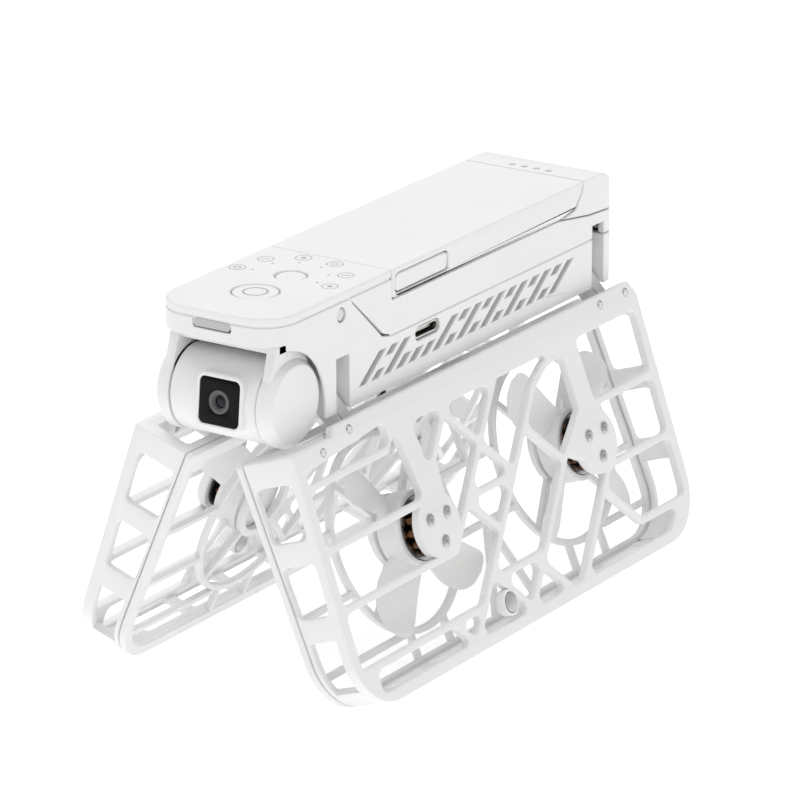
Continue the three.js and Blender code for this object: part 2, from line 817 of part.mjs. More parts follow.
function outerLattice() {
  const plate = facePlate(faceOutline(), 0, cage.skin);
  const windows = latticeWindows().map((lines) =>
    facePlate(rounded(opening(lines), cage.fillet), -1, cage.skin + 1));
  const mounts = Object.values(motorPlaces).map((y) =>
    facePlate(circle(y, motor.u, motor.mountRadius, 24), 0, cage.skin));
  const pad = join(
    facePlate(circle(magnetPlace.x, magnetPlace.y, 2.5), 0.2, cage.skin),
    facePlate([point(-10, 48), point(-6.6, 48), point(-5.6, 52), point(-11, 52)], 0.2, cage.skin),
  );
  const magnetHole = facePlate(circle(magnetPlace.x, magnetPlace.y, 1.9), -1, cage.skin - 0.5);
  const bores = Object.values(motorPlaces).flatMap((y) => [
    facePlate(circle(y, motor.u, 1.1, 8), -1, cage.skin + 1),
    ...screwPlaces(y).map((p) => facePlate(circle(p.x, p.y, 0.75, 6), -1, cage.skin + 1)),
  ]);
  return cut(join(cut(plate, ...windows), ...mounts, pad), magnetHole, ...bores);
}

function screwPlaces(y) {
  return [90, 210, 330].map((angle) =>
    point(y + motor.screwCircle * Math.cos(degrees(angle)),
      motor.u + motor.screwCircle * Math.sin(degrees(angle))));
}

// An end of the cage: a plate across its depth with three windows and broad rungs.
function endLadder(y0, y1) {
  const inner = (u) => depthAt(u) - cage.coverSkin - gap;
  const rim = cage.rib + 0.9;
  const outline = [point(0, 0), point(inner(0), 0), point(inner(cage.reach), cage.reach), point(0, cage.reach)];
  const rungs = [[5.4, 16.8], [21.6, 32.4], [37.4, 47.2]];
  const toFace = (points) => points.map((p) => point(faceX(p.x), height(p.y)));
  const windows = rungs.map(([top, bottom]) => {
    const window = [
      point(rim, top), point(inner(top) - 0.6, top),
      point(inner(bottom) - 0.6, bottom), point(rim, bottom),
    ];
    return alongY(rounded(toFace(window), 1.3, 1), y0 - 1, y1 + 1);
  });
  return cut(alongY(toFace(outline), y0, y1), ...windows);
}

// The strip along the top edge that carries the hinge arms, with lightening slots.
function topStrip() {
  const inner = cage.depth - cage.coverSkin - gap;
  const strip = alongZ(
    rectangle(faceX(inner), faceX(0), cage.front + 0.5, cage.rear - 0.5),
    height(1.8), height(0),
  );
  const slots = [[-60, -52], [-33, -21], [-17, -5], [-1, 11], [15, 27], [31, 45]].map(([y0, y1]) =>
    alongZ(rectangle(faceX(inner - 1.8), faceX(4), y0, y1), height(3), height(-1)));
  return cut(strip, ...slots);
}

// A narrow strip that closes the tip between the lattice and the cover.
function tipStrip() {
  const inner = depthAt(cage.reach) - cage.coverSkin - gap;
  const strip = alongZ(
    rectangle(faceX(inner), faceX(0.5), cage.front + 6, cage.rear - 6),
    height(cage.reach), height(cage.reach - 1.4),
  );
  const slots = Array.from({ length: 6 }, (_, i) => {
    const y = -50 + i * 17.8;
    return alongZ(
      rectangle(faceX(inner - 1.6), faceX(cage.skin), y, y + 14),
      height(cage.reach + 1), height(cage.reach - 3),
    );
  });
  return cut(strip, ...slots);
}

// The raised band on the top edge that takes the hinge screws.
function hingeBand() {
  const { front, rear } = cage;
  const outline = [point(front + 13, 1), point(front + 15, -1.8), point(rear - 2, -1.8), point(rear - 0.4, 1)];
  return facePlate(rounded(outline, 0.6, 2), 0, cage.skin);
}

function cageFrame() {
  const { front, rear, endPlate } = cage;
  const rim = alongX(faceOutline().map((p) => point(p.x, height(p.y))), faceX(20), faceX(0));
  const box3d = join(
    endLadder(front, front + endPlate),
    endLadder(rear - endPlate, rear),
    topStrip(),
    tipStrip(),
  ).intersect(rim);
  const shape = join(outerLattice(), box3d, cornerShells(), hingeBand());
  return cut(shape, armRoom(), ...armScrewBores(0.75));
}

// The end plates carried round the two rounded tip corners.
function cornerShells() {
  const { front, rear, reach, cornerRadius, endPlate } = cage;
  const inner = depthAt(reach) - cage.coverSkin - gap;
  const shells = [[front, 1], [rear, -1]].map(([y, side]) => {
    const cy = y + side * cornerRadius;
    const cu = reach - cornerRadius;
    const ring = cut(
      facePlate(circle(cy, cu, cornerRadius, 24), 0.2, inner),
      facePlate(circle(cy, cu, cornerRadius - endPlate, 24), -1, 20),
    );
    const quarter = rectangle(Math.min(cy, y - side), Math.max(cy, y - side), cu, reach + 1);
    const shell = ring.intersect(facePlate(quarter, 0, 20));
    const slot = rectangle(Math.min(cy, cy - side * 7), Math.max(cy, cy - side * 7), cu + 8, reach + 2);
    return cut(shell, facePlate(slot, cage.skin + 0.6, inner - 1.8));
  });
  return join(...shells);
}

// Inner cover: rings around the propellers, a rim and cross bars, leaning with the taper.
function cageCover() {
  const { front, rear, reach, coverSkin } = cage;
  const bar = (y0, u0, y1, u1, width = cage.rib) => {
    const along = point(y1 - y0, u1 - u0).normalize();
    const side = point(-along.y, along.x).multiplyScalar(width / 2);
    const a = point(y0, u0);
    const b = point(y1, u1);
    return flat([a.clone().sub(side), b.clone().sub(side), b.clone().add(side), a.clone().add(side)]);
  };
  const flat = (points) => alongX(points.map((p) => point(p.x, height(p.y))), 0, coverSkin);
  const ring = (y, outer, inner, sides) =>
    cut(flat(circle(y, motor.u, outer, sides)),
      alongX(circle(y, height(motor.u), inner, sides), -1, coverSkin + 1));
  const rimInner = rounded(
    [
      point(front + cage.stile, 3.4), point(front + cage.stile, reach - cage.tipRail),
      point(rear - cage.stile, reach - cage.tipRail), point(rear - cage.stile, 3.4),
    ],
    [2, cage.cornerRadius - cage.stile, cage.cornerRadius - cage.stile, 2],
    4,
  );
  const rim = cut(
    flat(faceOutline()),
    alongX(rimInner.map((p) => point(p.x, height(p.y))), -1, coverSkin + 1),
  );
  const pieces = [rim];
  for (const y of Object.values(motorPlaces)) {
    pieces.push(ring(y, 20.9, 19.5, 24), ring(y, 7.9, 6.2, 12));
    for (const angle of [45, 135, 225, 315]) {
      const c = Math.cos(degrees(angle));
      const s = Math.sin(degrees(angle));
      pieces.push(bar(y + 7 * c, motor.u + 7 * s, y + 20.2 * c, motor.u + 20.2 * s));
    }
    pieces.push(bar(y - 6, motor.u - 20, y - 6, 2), bar(y + 6, motor.u + 20, y + 6, reach - 1));
    pieces.push(bar(y + 6, motor.u - 20, y + 6, 2), bar(y - 6, motor.u + 20, y - 6, reach - 1));
  }
  for (const u of [20.2, 33]) {
    pieces.push(bar(front + 1, u, motor.frontY - 19.2, u));
    pieces.push(bar(motor.rearY + 19.2, u, rear - 1, u));
    pieces.push(bar(motor.frontY + 19.2, u, motor.rearY - 19.2, u));
  }
  pieces.push(bar(front + 3, 45.4, motor.frontY - 8, 45.4), bar(motor.rearY + 8, 45.4, rear - 3, 45.4));
  const middle = (motor.frontY + motor.rearY) / 2;
  pieces.push(flat(circle(middle, 17, 2.2, 16)), bar(middle, 2, middle, 20.2));
  pieces.push(bar(middle, 33, middle - 8, reach - 1), bar(middle, 33, middle + 8, reach - 1));
  const whole = join(...pieces).intersect(flat(faceOutline()));
  // leaned so that its outside follows the depth at every height
  const geometry = geometryOf(whole);
  const lean = new THREE.Matrix4().makeShear(0, 0, 0, 0, -cage.taper, 0);
  geometry.applyMatrix4(lean);
  geometry.translate(faceX(cage.depth) + cage.taper * cage.topZ, 0, 0);
  return solid(geometry);
}

// Hinge arm: a boss on the fold axis, a neck through the top strip and a flange behind the beam.
function hingeArm({ y, flange }) {
  const half = hinge.armWidth / 2;
  const { top, bottom, inner, outer } = armFlange;
  const neck = [
    point(-2.2, 0), point(-2, -8.5), point(inner - 0.4, height(2.4)),
    point(inner + 0.2, height(bottom)), point(outer, height(bottom)),
    point(outer, height(top)), point(2.2, -6.5), point(2.2, 0),
  ];
  const boss = alongY(circle(0, 0, hinge.bossRadius), y - half, y + half);
  const plate = alongY([
    point(inner, height(top)), point(inner, height(bottom)),
    point(outer, height(bottom)), point(outer, height(top)),
  ], flange[0], flange[1]);
  const bore = alongY(circle(0, 0, hinge.pinRadius + gap, 12), y - half - 1, y + half + 1);
  return cut(join(alongY(rounded(neck, 1), y - half, y + half), boss, plate), bore, ...armScrewBores(0.75));
}

// The flange behind the beam, in the cage's own depth and height.
const armFlange = { top: -0.95, bottom: 3.6, outer: faceX(cage.skin + gap), inner: faceX(cage.skin + gap + 2) };

const arms3d = {
  front: { y: hinge.frontY, flange: [-56.4, -38.2], screws: [[-53.8, 2.1], [-43.8, 0.2]] },
  rear: { y: hinge.rearY, flange: [48.2, 62.9], screws: [[50.7, 0.3], [60.9, 0.3]] },
};

function armScrewBores(radius) {
  return Object.values(arms3d).flatMap(({ screws }) =>
    screws.map(([y, u]) => facePlate(circle(y, u, radius + 0.15, 8), -2, 6)));
}

// Room in the cage for the arms and their screw heads.
function armRoom() {
  const { top, inner, outer } = armFlange;
  const rooms = Object.values(arms3d).flatMap(({ y, flange, screws }) => {
    const half = hinge.armWidth / 2 + gap;
    return [
      box(inner - gap, outer + gap, flange[0] - gap, flange[1] + gap, height(1.8 + 0.1), height(top - 1)),
      box(-2.6, outer + gap, y - half, y + half, height(1.8 + 0.1), height(top - 1)),
      ...screws.map(([sy, su]) => facePlate(circle(sy, su, 1.75, 12), -1, 0.9)),
    ];
  });
  return join(...rooms);
}

function armScrew([y, u]) {
  const head = facePlate(circle(y, u, 1.45, 12), 0.15, 0.75);
  return join(head, facePlate(circle(y, u, 0.6, 8), 0.7, 4));
}

// ---------------------------------------------------------------- motors and propellers

// Turned about an axis that runs along the cage's depth: (depth, radius) pairs.
function turnedAtMotor(profile, sides = 20) {
  return turnedAboutX(profile.map(([w, r]) => [-w, r]), sides);
}

function atMotor(made, y) {
  return made.translate([cage.outerX, y, height(motor.u)]);
}

function motorStator(y) {
  const { statorRadius, shaftRadius } = motor;
  const foot = cage.skin + gap;
  const core = turnedAtMotor([
    [foot, 0],
    [foot, statorRadius + 0.8],
    [foot + 0.6, statorRadius + 0.8],
    [foot + 0.6, statorRadius - 0.6],
    [foot + 1.1, statorRadius],
    [foot + 3.1, statorRadius],
    [foot + 3.4, statorRadius - 0.6],
    [foot + 3.4, shaftRadius],
    [foot + 7.4, shaftRadius],
    [foot + 7.4, 0],
  ]);
  return atMotor(core, y);
}

function motorBell(y) {
  const { bellRadius, bellWall, shaftRadius } = motor;
  const mouth = cage.skin + gap + 0.9;
  const top = cage.skin + gap + 3.8;
  const bell = turnedAboutClosedLoop([
    [mouth, bellRadius - bellWall],
    [mouth, bellRadius],
    [top, bellRadius],
    [top + 0.8, bellRadius - 0.6],
    [top + 0.8, shaftRadius + gap],
    [top, shaftRadius + gap],
    [top, bellRadius - bellWall],
  ]);
  return atMotor(bell, y);
}

// A ring turned from a closed loop of (depth, radius) pairs that stays off the axis.
function turnedAboutClosedLoop(loop, sides = 20) {
  return turnedAtMotor([...loop, loop[0]], sides);
}

// Four broad blades on a drum that slips over the motor bell. spin is +1 or -1.
function propeller(y, spin) {
  const { bellRadius, hubRadius, shaftRadius, bladeCount, bladeTurn } = motor;
  const start = cage.skin + 2.4;
  const seat = cage.skin + gap + 4.6 + gap;
  const end = cage.skin + 8.4;
  const drum = turnedAboutClosedLoop([
    [start, bellRadius + gap],
    [start, hubRadius],
    [end - 1, hubRadius],
    [end, hubRadius - 1],
    [end, shaftRadius + gap],
    [seat, shaftRadius + gap],
    [seat, bellRadius + gap],
  ]);
  const blades = Array.from({ length: bladeCount }, (_, i) =>
    blade().rotate([bladeTurn + (360 / bladeCount) * i, 0, 0]));
  const made = join(drum, ...blades);
  return atMotor(spin < 0 ? made.mirror([0, 1, 0]) : made, y);
}

// One blade from the drum to its tip, pitched more at the root than at the tip.
function blade() {
  const stations = [
    [motor.hubRadius - 0.9, 5.6, 34],
    [11, 8.2, 30],
    [15.5, 9.4, 24],
    [20, 8.6, 18],
    [motor.bladeRadius - 0.5, 5.8, 14],
  ];
  const middle = -(cage.skin + 5.2);
  const thick = 0.9;
  const positions = [];
  const index = [];
  for (const [radius, chord, pitch] of stations) {
    const c = Math.cos(degrees(pitch));
    const s = Math.sin(degrees(pitch));
    const corners = [[-chord / 2, -thick / 2], [chord / 2, -thick / 2], [chord / 2, thick / 2], [-chord / 2, thick / 2]];
    for (const [along, across] of corners) {
      positions.push(middle + across * c + along * s, along * c - across * s, radius);
    }
  }
  for (let ring = 0; ring < stations.length - 1; ring++) {
    for (let k = 0; k < 4; k++) {
      const a = ring * 4 + k;
      const b = ring * 4 + ((k + 1) % 4);
      index.push(a, b, b + 4, a, b + 4, a + 4);
    }
  }
  const last = (stations.length - 1) * 4;
  index.push(2, 1, 0, 3, 2, 0, last, last + 1, last + 2, last, last + 2, last + 3);
  const geometry = new THREE.BufferGeometry();
  geometry.setAttribute('position', new THREE.Float32BufferAttribute(positions, 3));
  geometry.setIndex(index);
  const made = solid(geometry.clone());
  return made.volume() < 0 ? solid(flipped(geometry)) : made;
}

function latchMagnet() {
  return facePlate(circle(magnetPlace.x, magnetPlace.y, 1.6), 0.1, cage.skin - 0.8);
}

// ---------------------------------------------------------------- the drone

const drone = new THREE.Group();

drone.add(
  part('lower_shell', lowerShell(), whiteShell),
  part('upper_frame', upperFrame(), whiteShell),
  part('rear_cap', rearCap(), whiteShell),
  part('control_panel', controlPanel(), whiteShell),
  part('power_button', pushButton(panel.powerY, panel.powerRadius), whiteShell),
  part('mode_button', pushButton(panel.modeY, panel.modeRadius), whiteShell),
  part('front_light_bar', lightBarSolid(0), lightGuide),
  part('tail_status_lights', statusLights(0), lightGuide),
  part('downward_sensor_window', sensorWindowSolid(0), blackGlass),
  part('main_board', mainBoard(), boardGreen),
  part('heat_sink', heatSink(), steel),
  part('charging_port', portSocket(), steel),
  part('battery_case', batteryCase(), whiteShell),
  part('battery_cells', batteryCells(), darkPlastic),
  part('battery_latch_left', latchSolid(-1, 0, 0), whiteShell),
  part('battery_latch_right', latchSolid(1, 0, 0), whiteShell),
  part('gimbal_yoke', gimbalYoke(), whiteShell),
  part('gimbal_bay_liner', bayLiner(), darkPlastic),
  part('side_screw_left', sideScrew(-1), steel),
  part('side_screw_right', sideScrew(1), steel),
);

for (const [x, y] of hingePinPlaces()) {
  const side = x < 0 ? 'left' : 'right';
  const end = y < 0 ? 'front' : 'rear';
  drone.add(part(`hinge_pin_${side}_${end}`, hingePin(x, y), steel));
}

const camera = new THREE.Group();
camera.position.set(0, gimbal.y, gimbal.z);
camera.rotation.x = -degrees(gimbal.pitchUp);
camera.add(
  part('gimbal_barrel', gimbalBarrel(), whiteShell),
  part('camera_window', cameraWindow(), blackGlass),
  part('lens_barrel', lensBarrel(), darkPlastic),
  part('lens_element', lensElement(), lensGlass),
  part('image_sensor', imageSensor(), darkPlastic),
);
drone.add(camera);

function foldingCage(side, mirror) {
  const group = new THREE.Group();
  group.position.set(mirror * hinge.x, 0, hinge.z);
  group.rotation.y = -mirror * degrees(hinge.splay);
  group.scale.x = mirror;
  group.add(
    part(`cage_frame_${side}`, cageFrame(), whiteCage),
    part(`cage_cover_${side}`, cageCover(), whiteCage),
    part(`latch_magnet_${side}`, latchMagnet(), steel),
  );
  for (const [end, arm] of Object.entries(arms3d)) {
    group.add(part(`hinge_arm_${side}_${end}`, hingeArm(arm), whiteCage));
    arm.screws.forEach((place, i) =>
      group.add(part(`arm_screw_${side}_${end}_${i + 1}`, armScrew(place), steel)));
  }
  for (const [end, y] of Object.entries(motorPlaces)) {
    const spin = end === 'front' ? 1 : -1;
    group.add(
      part(`motor_stator_${side}_${end}`, motorStator(y), copper),
      part(`motor_bell_${side}_${end}`, motorBell(y), darkPlastic),
      part(`propeller_${side}_${end}`, propeller(y, spin), whiteCage),
    );
  }
  return group;
}

drone.add(foldingCage('left', -1), foldingCage('right', 1));

// Stood on the inner tip edges of the cages, with the middle of its length over the origin.
const bounds = new THREE.Box3().setFromObject(drone, true);
drone.position.y = -(bounds.min.y + bounds.max.y) / 2;
drone.position.z = -bounds.min.z;

export default drone;
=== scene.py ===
"""Mini palm drone: the finished look of every piece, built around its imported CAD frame.

Laid out as an add-on and run as a script. Lengths inside the pieces are in millimetres, in the
body's own places: x across, y from nose to tail, z down from the top face. They become metres in
the row's frame when a mesh is made.
"""

import json
import math

import bmesh
import bpy
import numpy as np
from bpy.props import FloatProperty, FloatVectorProperty, PointerProperty
from mathutils import Matrix, Vector

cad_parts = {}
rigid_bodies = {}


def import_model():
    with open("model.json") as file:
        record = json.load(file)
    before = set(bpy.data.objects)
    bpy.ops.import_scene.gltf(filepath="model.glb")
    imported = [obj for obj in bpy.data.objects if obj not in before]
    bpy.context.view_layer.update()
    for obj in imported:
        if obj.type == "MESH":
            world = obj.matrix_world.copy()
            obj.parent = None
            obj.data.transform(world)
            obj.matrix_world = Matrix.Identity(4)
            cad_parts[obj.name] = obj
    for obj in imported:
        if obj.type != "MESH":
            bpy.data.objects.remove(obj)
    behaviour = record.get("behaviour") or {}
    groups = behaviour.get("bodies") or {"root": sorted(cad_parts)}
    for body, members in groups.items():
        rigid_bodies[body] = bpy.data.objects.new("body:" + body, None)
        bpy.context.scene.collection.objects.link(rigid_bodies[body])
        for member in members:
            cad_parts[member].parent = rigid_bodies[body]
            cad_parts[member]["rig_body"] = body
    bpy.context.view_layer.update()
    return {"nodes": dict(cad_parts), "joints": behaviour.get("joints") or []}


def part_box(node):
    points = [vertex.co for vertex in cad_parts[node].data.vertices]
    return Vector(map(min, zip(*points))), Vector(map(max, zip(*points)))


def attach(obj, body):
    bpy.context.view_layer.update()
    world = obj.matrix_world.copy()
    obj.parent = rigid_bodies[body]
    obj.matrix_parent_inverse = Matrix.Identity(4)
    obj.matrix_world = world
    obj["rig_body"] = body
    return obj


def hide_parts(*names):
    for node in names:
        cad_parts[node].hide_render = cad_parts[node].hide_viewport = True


bl_info = {
    "name": "Mini palm drone",
    "version": (1, 0, 0),
    "blender": (4, 5, 0),
    "location": "3D View > Sidebar > Palm drone",
    "description": "Builds the visible pieces of a mini palm drone around its CAD frame",
    "category": "Object",
}

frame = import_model()

MM = 0.001
JOINTS = {joint["name"]: joint for joint in frame["joints"]}
HINGE = [v / MM for v in JOINTS["cage_fold_right"]["pos_m"]]
SPLAY = math.radians(-JOINTS["cage_fold_right"]["range_deg"][0])
PITCH_AXIS = [v / MM for v in JOINTS["camera_pitch"]["pos_m"]]
TOP_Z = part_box("control_panel")[1].z / MM  # the body's top face
SHIFT_Y = HINGE[1]  # the body's own zero along its length
SIDES = (("left", -1), ("right", 1))
ENDS = ("front", "rear")
HALF_WIDTH = 14.85
REST_TILT = math.radians(6.0)  # the lens looks up this much at rest
DOUBLES, CAD_DOUBLES = 2e-6, 3e-5  # metres within which points of a new piece, or of a CAD copy, merge
FLAT_WITHIN = math.radians(2)  # CAD faces that meet at less than this become one
BEVEL_FROM = math.radians(28)  # edges sharper than this are rounded


# ---------------------------------------------------------------- places

def body_place(points):
    """Body millimetres to row metres: slide by the body's zero and its top face."""
    points = np.asarray(points, float)
    return (points + np.array([0.0, SHIFT_Y, TOP_Z])) * MM


def cage_place(points, side):
    """Cage millimetres (x out, y along, z up from the fold axis, hanging straight) to row metres:
    turn by the splay about the fold axis, then mirror for the left cage."""
    points = np.asarray(points, float)
    x, y, z = points[..., 0], points[..., 1], points[..., 2]
    c, s = math.cos(SPLAY), math.sin(SPLAY)
    out = np.stack([HINGE[0] + x * c - z * s, y + SHIFT_Y, HINGE[2] + x * s + z * c], -1)
    out[..., 0] *= side
    return out * MM


def head_place(points, tilt=REST_TILT):
    """Camera-head millimetres (about the pitch axis, lens towards -y) to row metres: tilt the
    lens up by the rest angle, then move to the pitch axis."""
    points = np.asarray(points, float)
    x, y, z = points[..., 0], points[..., 1], points[..., 2]
    c, s = math.cos(-tilt), math.sin(-tilt)
    out = np.stack([x, y * c - z * s, y * s + z * c], -1)
    return (out + np.array(PITCH_AXIS)) * MM


# ---------------------------------------------------------------- meshes

def piece(name, points, faces, material, body):
    """A mesh object from arrays of points in metres and faces of equal length, set to ride."""
    mesh = bpy.data.meshes.new(name)
    points = np.asarray(points, np.float32).reshape(-1, 3)
    faces = np.asarray(faces, np.int32)
    sides = faces.shape[1]
    mesh.vertices.add(len(points))
    mesh.vertices.foreach_set("co", points.ravel())
    mesh.loops.add(faces.size)
    mesh.loops.foreach_set("vertex_index", faces.ravel())
    mesh.polygons.add(len(faces))
    mesh.polygons.foreach_set("loop_start", np.arange(0, faces.size, sides, dtype=np.int32))
    mesh.update(calc_edges=True)
    return finish_piece(name, mesh, material, body)


def finish_piece(name, mesh, material, body, smooth=35.0):
    """Doubles merged, faces turned outwards, edges sharper than the angle kept sharp."""
    bm = bmesh.new()
    bm.from_mesh(mesh)
    bmesh.ops.remove_doubles(bm, verts=bm.verts, dist=DOUBLES)
    bmesh.ops.recalc_face_normals(bm, faces=bm.faces)
    bm.to_mesh(mesh)
    bm.free()
    mesh.shade_smooth()
    mesh.set_sharp_from_angle(angle=math.radians(smooth))
    mesh.materials.clear()
    mesh.materials.append(material)
    made = bpy.data.objects.new(name, mesh)
    bpy.context.scene.collection.objects.link(made)
    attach(made, body)
    return made


def grid_faces(rows, columns, wrap=False):
    """Quads of a grid whose points run row by row; wrap joins the last column to the first."""
    r = np.arange(rows - 1)[:, None]
    c = np.arange(columns if wrap else columns - 1)[None, :]
    a = r * columns + c
    b = r * columns + (c + 1) % columns
    return np.stack([a, b, b + columns, a + columns], -1).reshape(-1, 4)


def turned(profile, sides=96):
    """Points and quads of a profile of (along, radius) pairs carried round an axis: the point at
    angle t is (along, radius cos t, radius sin t)."""
    profile = np.asarray(profile, float)
    t = np.linspace(0, 2 * math.pi, sides, endpoint=False)
    points = np.stack([
        np.repeat(profile[:, :1], sides, 1),
        profile[:, 1:] * np.cos(t),
        profile[:, 1:] * np.sin(t),
    ], -1)
    return points.reshape(-1, 3), grid_faces(len(profile), sides, wrap=True)


def soft_profile(corners, radius, steps=4):
    """A line of (along, radius) pairs with each inner corner replaced by an arc."""
    corners = [np.asarray(c, float) for c in corners]
    out = [corners[0]]
    for before, corner, after in zip(corners, corners[1:], corners[2:]):
        a, b = before - corner, after - corner
        reach = min(radius, 0.45 * np.linalg.norm(a), 0.45 * np.linalg.norm(b))
        start, end = corner + a / np.linalg.norm(a) * reach, corner + b / np.linalg.norm(b) * reach
        t = np.linspace(0, 1, steps + 1)[:, None]
        out.extend((1 - t) ** 2 * start + 2 * t * (1 - t) * corner + t ** 2 * end)
    out.append(corners[-1])
    return np.array(out)


def rounded_rectangle(x0, x1, y0, y1, radius, steps=8):
    """Outline of a rectangle with arcs of the given radius at its corners, anticlockwise."""
    radius = min(radius, (x1 - x0) / 2 - 1e-6, (y1 - y0) / 2 - 1e-6)
    centres = [(x1 - radius, y1 - radius, 0), (x0 + radius, y1 - radius, 90),
               (x0 + radius, y0 + radius, 180), (x1 - radius, y0 + radius, 270)]
    t = np.radians(np.linspace(0, 90, steps + 1))
    return np.concatenate([
        np.stack([cx + radius * np.cos(t + math.radians(a)), cy + radius * np.sin(t + math.radians(a))], -1)
        for cx, cy, a in centres
    ])


def area_of(outline):
    """Signed area of a polygon, over zero where it runs anticlockwise."""
    following = np.roll(outline, -1, 0)
    return 0.5 * np.sum(outline[:, 0] * following[:, 1] - following[:, 0] * outline[:, 1])


def plate_mesh(name, outlines, thickness, edge, place, steps=2):
    """A flat curve filled between its first outline and the holes in it, drawn out to a plate with
    rounded edges. Outlines are (n, 2) arrays; place maps (a, b, depth) points to row metres."""
    curve = bpy.data.curves.new(name, "CURVE")
    curve.dimensions = "2D"
    curve.fill_mode = "BOTH"
    curve.extrude = max(thickness / 2 - edge, 1e-4)
    curve.bevel_depth = edge
    curve.bevel_resolution = steps
    curve.offset = -edge
    for number, outline in enumerate(outlines):
        outline = np.asarray(outline, float)
        if (area_of(outline) > 0) == (number > 0):
            outline = outline[::-1]
        spline = curve.splines.new("POLY")
        spline.points.add(len(outline) - 1)
        height_and_weight = np.tile([0.0, 1.0], (len(outline), 1))
        spline.points.foreach_set("co", np.column_stack([outline, height_and_weight]).ravel())
        spline.use_cyclic_u = True
    holder = bpy.data.objects.new(name, curve)
    bpy.context.scene.collection.objects.link(holder)
    bpy.context.view_layer.update()
    mesh = bpy.data.meshes.new_from_object(holder.evaluated_get(bpy.context.evaluated_depsgraph_get()))
    bpy.data.objects.remove(holder)
    bpy.data.curves.remove(curve)
    points = np.zeros(len(mesh.vertices) * 3)
    mesh.vertices.foreach_get("co", points)
    mesh.vertices.foreach_set("co", place(points.reshape(-1, 3)).ravel().astype(np.float32))
    mesh.update()
    return mesh


def round_edges(made, width, segments, clamp):
    """A Bevel modifier of the given width, in millimetres."""
    bevel = made.modifiers.new("edges", "BEVEL")
    bevel.width = width * MM
    bevel.segments = segments
    bevel.limit_method = "ANGLE"
    bevel.angle_limit = BEVEL_FROM
    bevel.use_clamp_overlap = clamp
    bevel.harden_normals = True


def moulded(node, finish, width):
    """A copy of a CAD node, merged and with its edges rounded, that stands for the node."""
    body = frame["nodes"][node].get("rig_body")
    mesh = frame["nodes"][node].data.copy()
    bm = bmesh.new()
    bm.from_mesh(mesh)
    bmesh.ops.remove_doubles(bm, verts=bm.verts, dist=CAD_DOUBLES)
    bmesh.ops.dissolve_limit(bm, angle_limit=FLAT_WITHIN, verts=bm.verts, edges=bm.edges)
    bmesh.ops.recalc_face_normals(bm, faces=bm.faces)
    bm.to_mesh(mesh)
    bm.free()
    made = finish_piece(node + "_finished", mesh, finish[0], body, 32)
    round_edges(made, width, segments=2, clamp=False)
    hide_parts(node)


# ---------------------------------------------------------------- materials

def new_material(name):
    """A node material, with its nodes, its links and its shader."""
    material = bpy.data.materials.new(name)
    material.use_nodes = True
    nodes = material.node_tree.nodes
    shader = nodes["Principled BSDF"]
    return material, nodes, material.node_tree.links, shader


def noise(nodes, links, source, scale, detail):
    """Noise whose cells are about one over the scale wide, in metres."""
    node = nodes.new("ShaderNodeTexNoise")
    node.inputs["Scale"].default_value = scale
    node.inputs["Detail"].default_value = detail
    links.new(source, node.inputs["Vector"])
    return node.outputs["Fac"]


def spread(nodes, links, value, low, high):
    """The middle of a noise's values, stretched from low to high."""
    node = nodes.new("ShaderNodeMapRange")
    node.inputs["From Min"].default_value = 0.3
    node.inputs["From Max"].default_value = 0.7
    node.inputs["To Min"].default_value = low
    node.inputs["To Max"].default_value = high
    links.new(value, node.inputs["Value"])
    return node.outputs["Result"]


def moulded_plastic(name, colour, roughness=0.48, grain=2600.0, depth=0.05, tint=0.985, milky=0.0):
    """Injection-moulded plastic: fine spark-eroded grain, slow colour drift, handling sheen."""
    material, nodes, links, shader = new_material(name)
    place = nodes.new("ShaderNodeTexCoord").outputs["Object"]
    drift = noise(nodes, links, place, 34.0, 3.0)
    ramp = nodes.new("ShaderNodeValToRGB")
    ramp.color_ramp.elements[0].position = 0.35
    ramp.color_ramp.elements[1].position = 0.65
    ramp.color_ramp.elements[0].color = (*[c * tint for c in colour], 1)
    ramp.color_ramp.elements[1].color = (*colour, 1)
    links.new(drift, ramp.inputs["Fac"])
    links.new(ramp.outputs["Color"], shader.inputs["Base Color"])
    sheen = noise(nodes, links, place, 90.0, 5.0)
    links.new(spread(nodes, links, sheen, roughness - 0.06, roughness + 0.06), shader.inputs["Roughness"])
    fine = noise(nodes, links, place, grain, 2.0)
    bump = nodes.new("ShaderNodeBump")
    bump.inputs["Strength"].default_value = depth
    bump.inputs["Distance"].default_value = 0.0001
    links.new(fine, bump.inputs["Height"])
    links.new(bump.outputs["Normal"], shader.inputs["Normal"])
    shader.inputs["IOR"].default_value = 1.48
    if milky:
        shader.inputs["Subsurface Weight"].default_value = milky
        shader.inputs["Subsurface Scale"].default_value = 0.0008
        shader.inputs["Subsurface Radius"].default_value = (1.0, 0.9, 0.8)
    return material


def polished_glass(name, colour, roughness=0.05, coat=0.0, specular=0.12):
    """Black or coated glass: nearly flat, with faint smears in the gloss."""
    material, nodes, links, shader = new_material(name)
    place = nodes.new("ShaderNodeTexCoord").outputs["Object"]
    smear = noise(nodes, links, place, 220.0, 4.0)
    links.new(spread(nodes, links, smear, roughness * 0.6, roughness * 1.6), shader.inputs["Roughness"])
    shader.inputs["Base Color"].default_value = (*colour, 1)
    shader.inputs["Coat Weight"].default_value = coat
    shader.inputs["Coat Roughness"].default_value = 0.03
    shader.inputs["Specular IOR Level"].default_value = specular
    return material


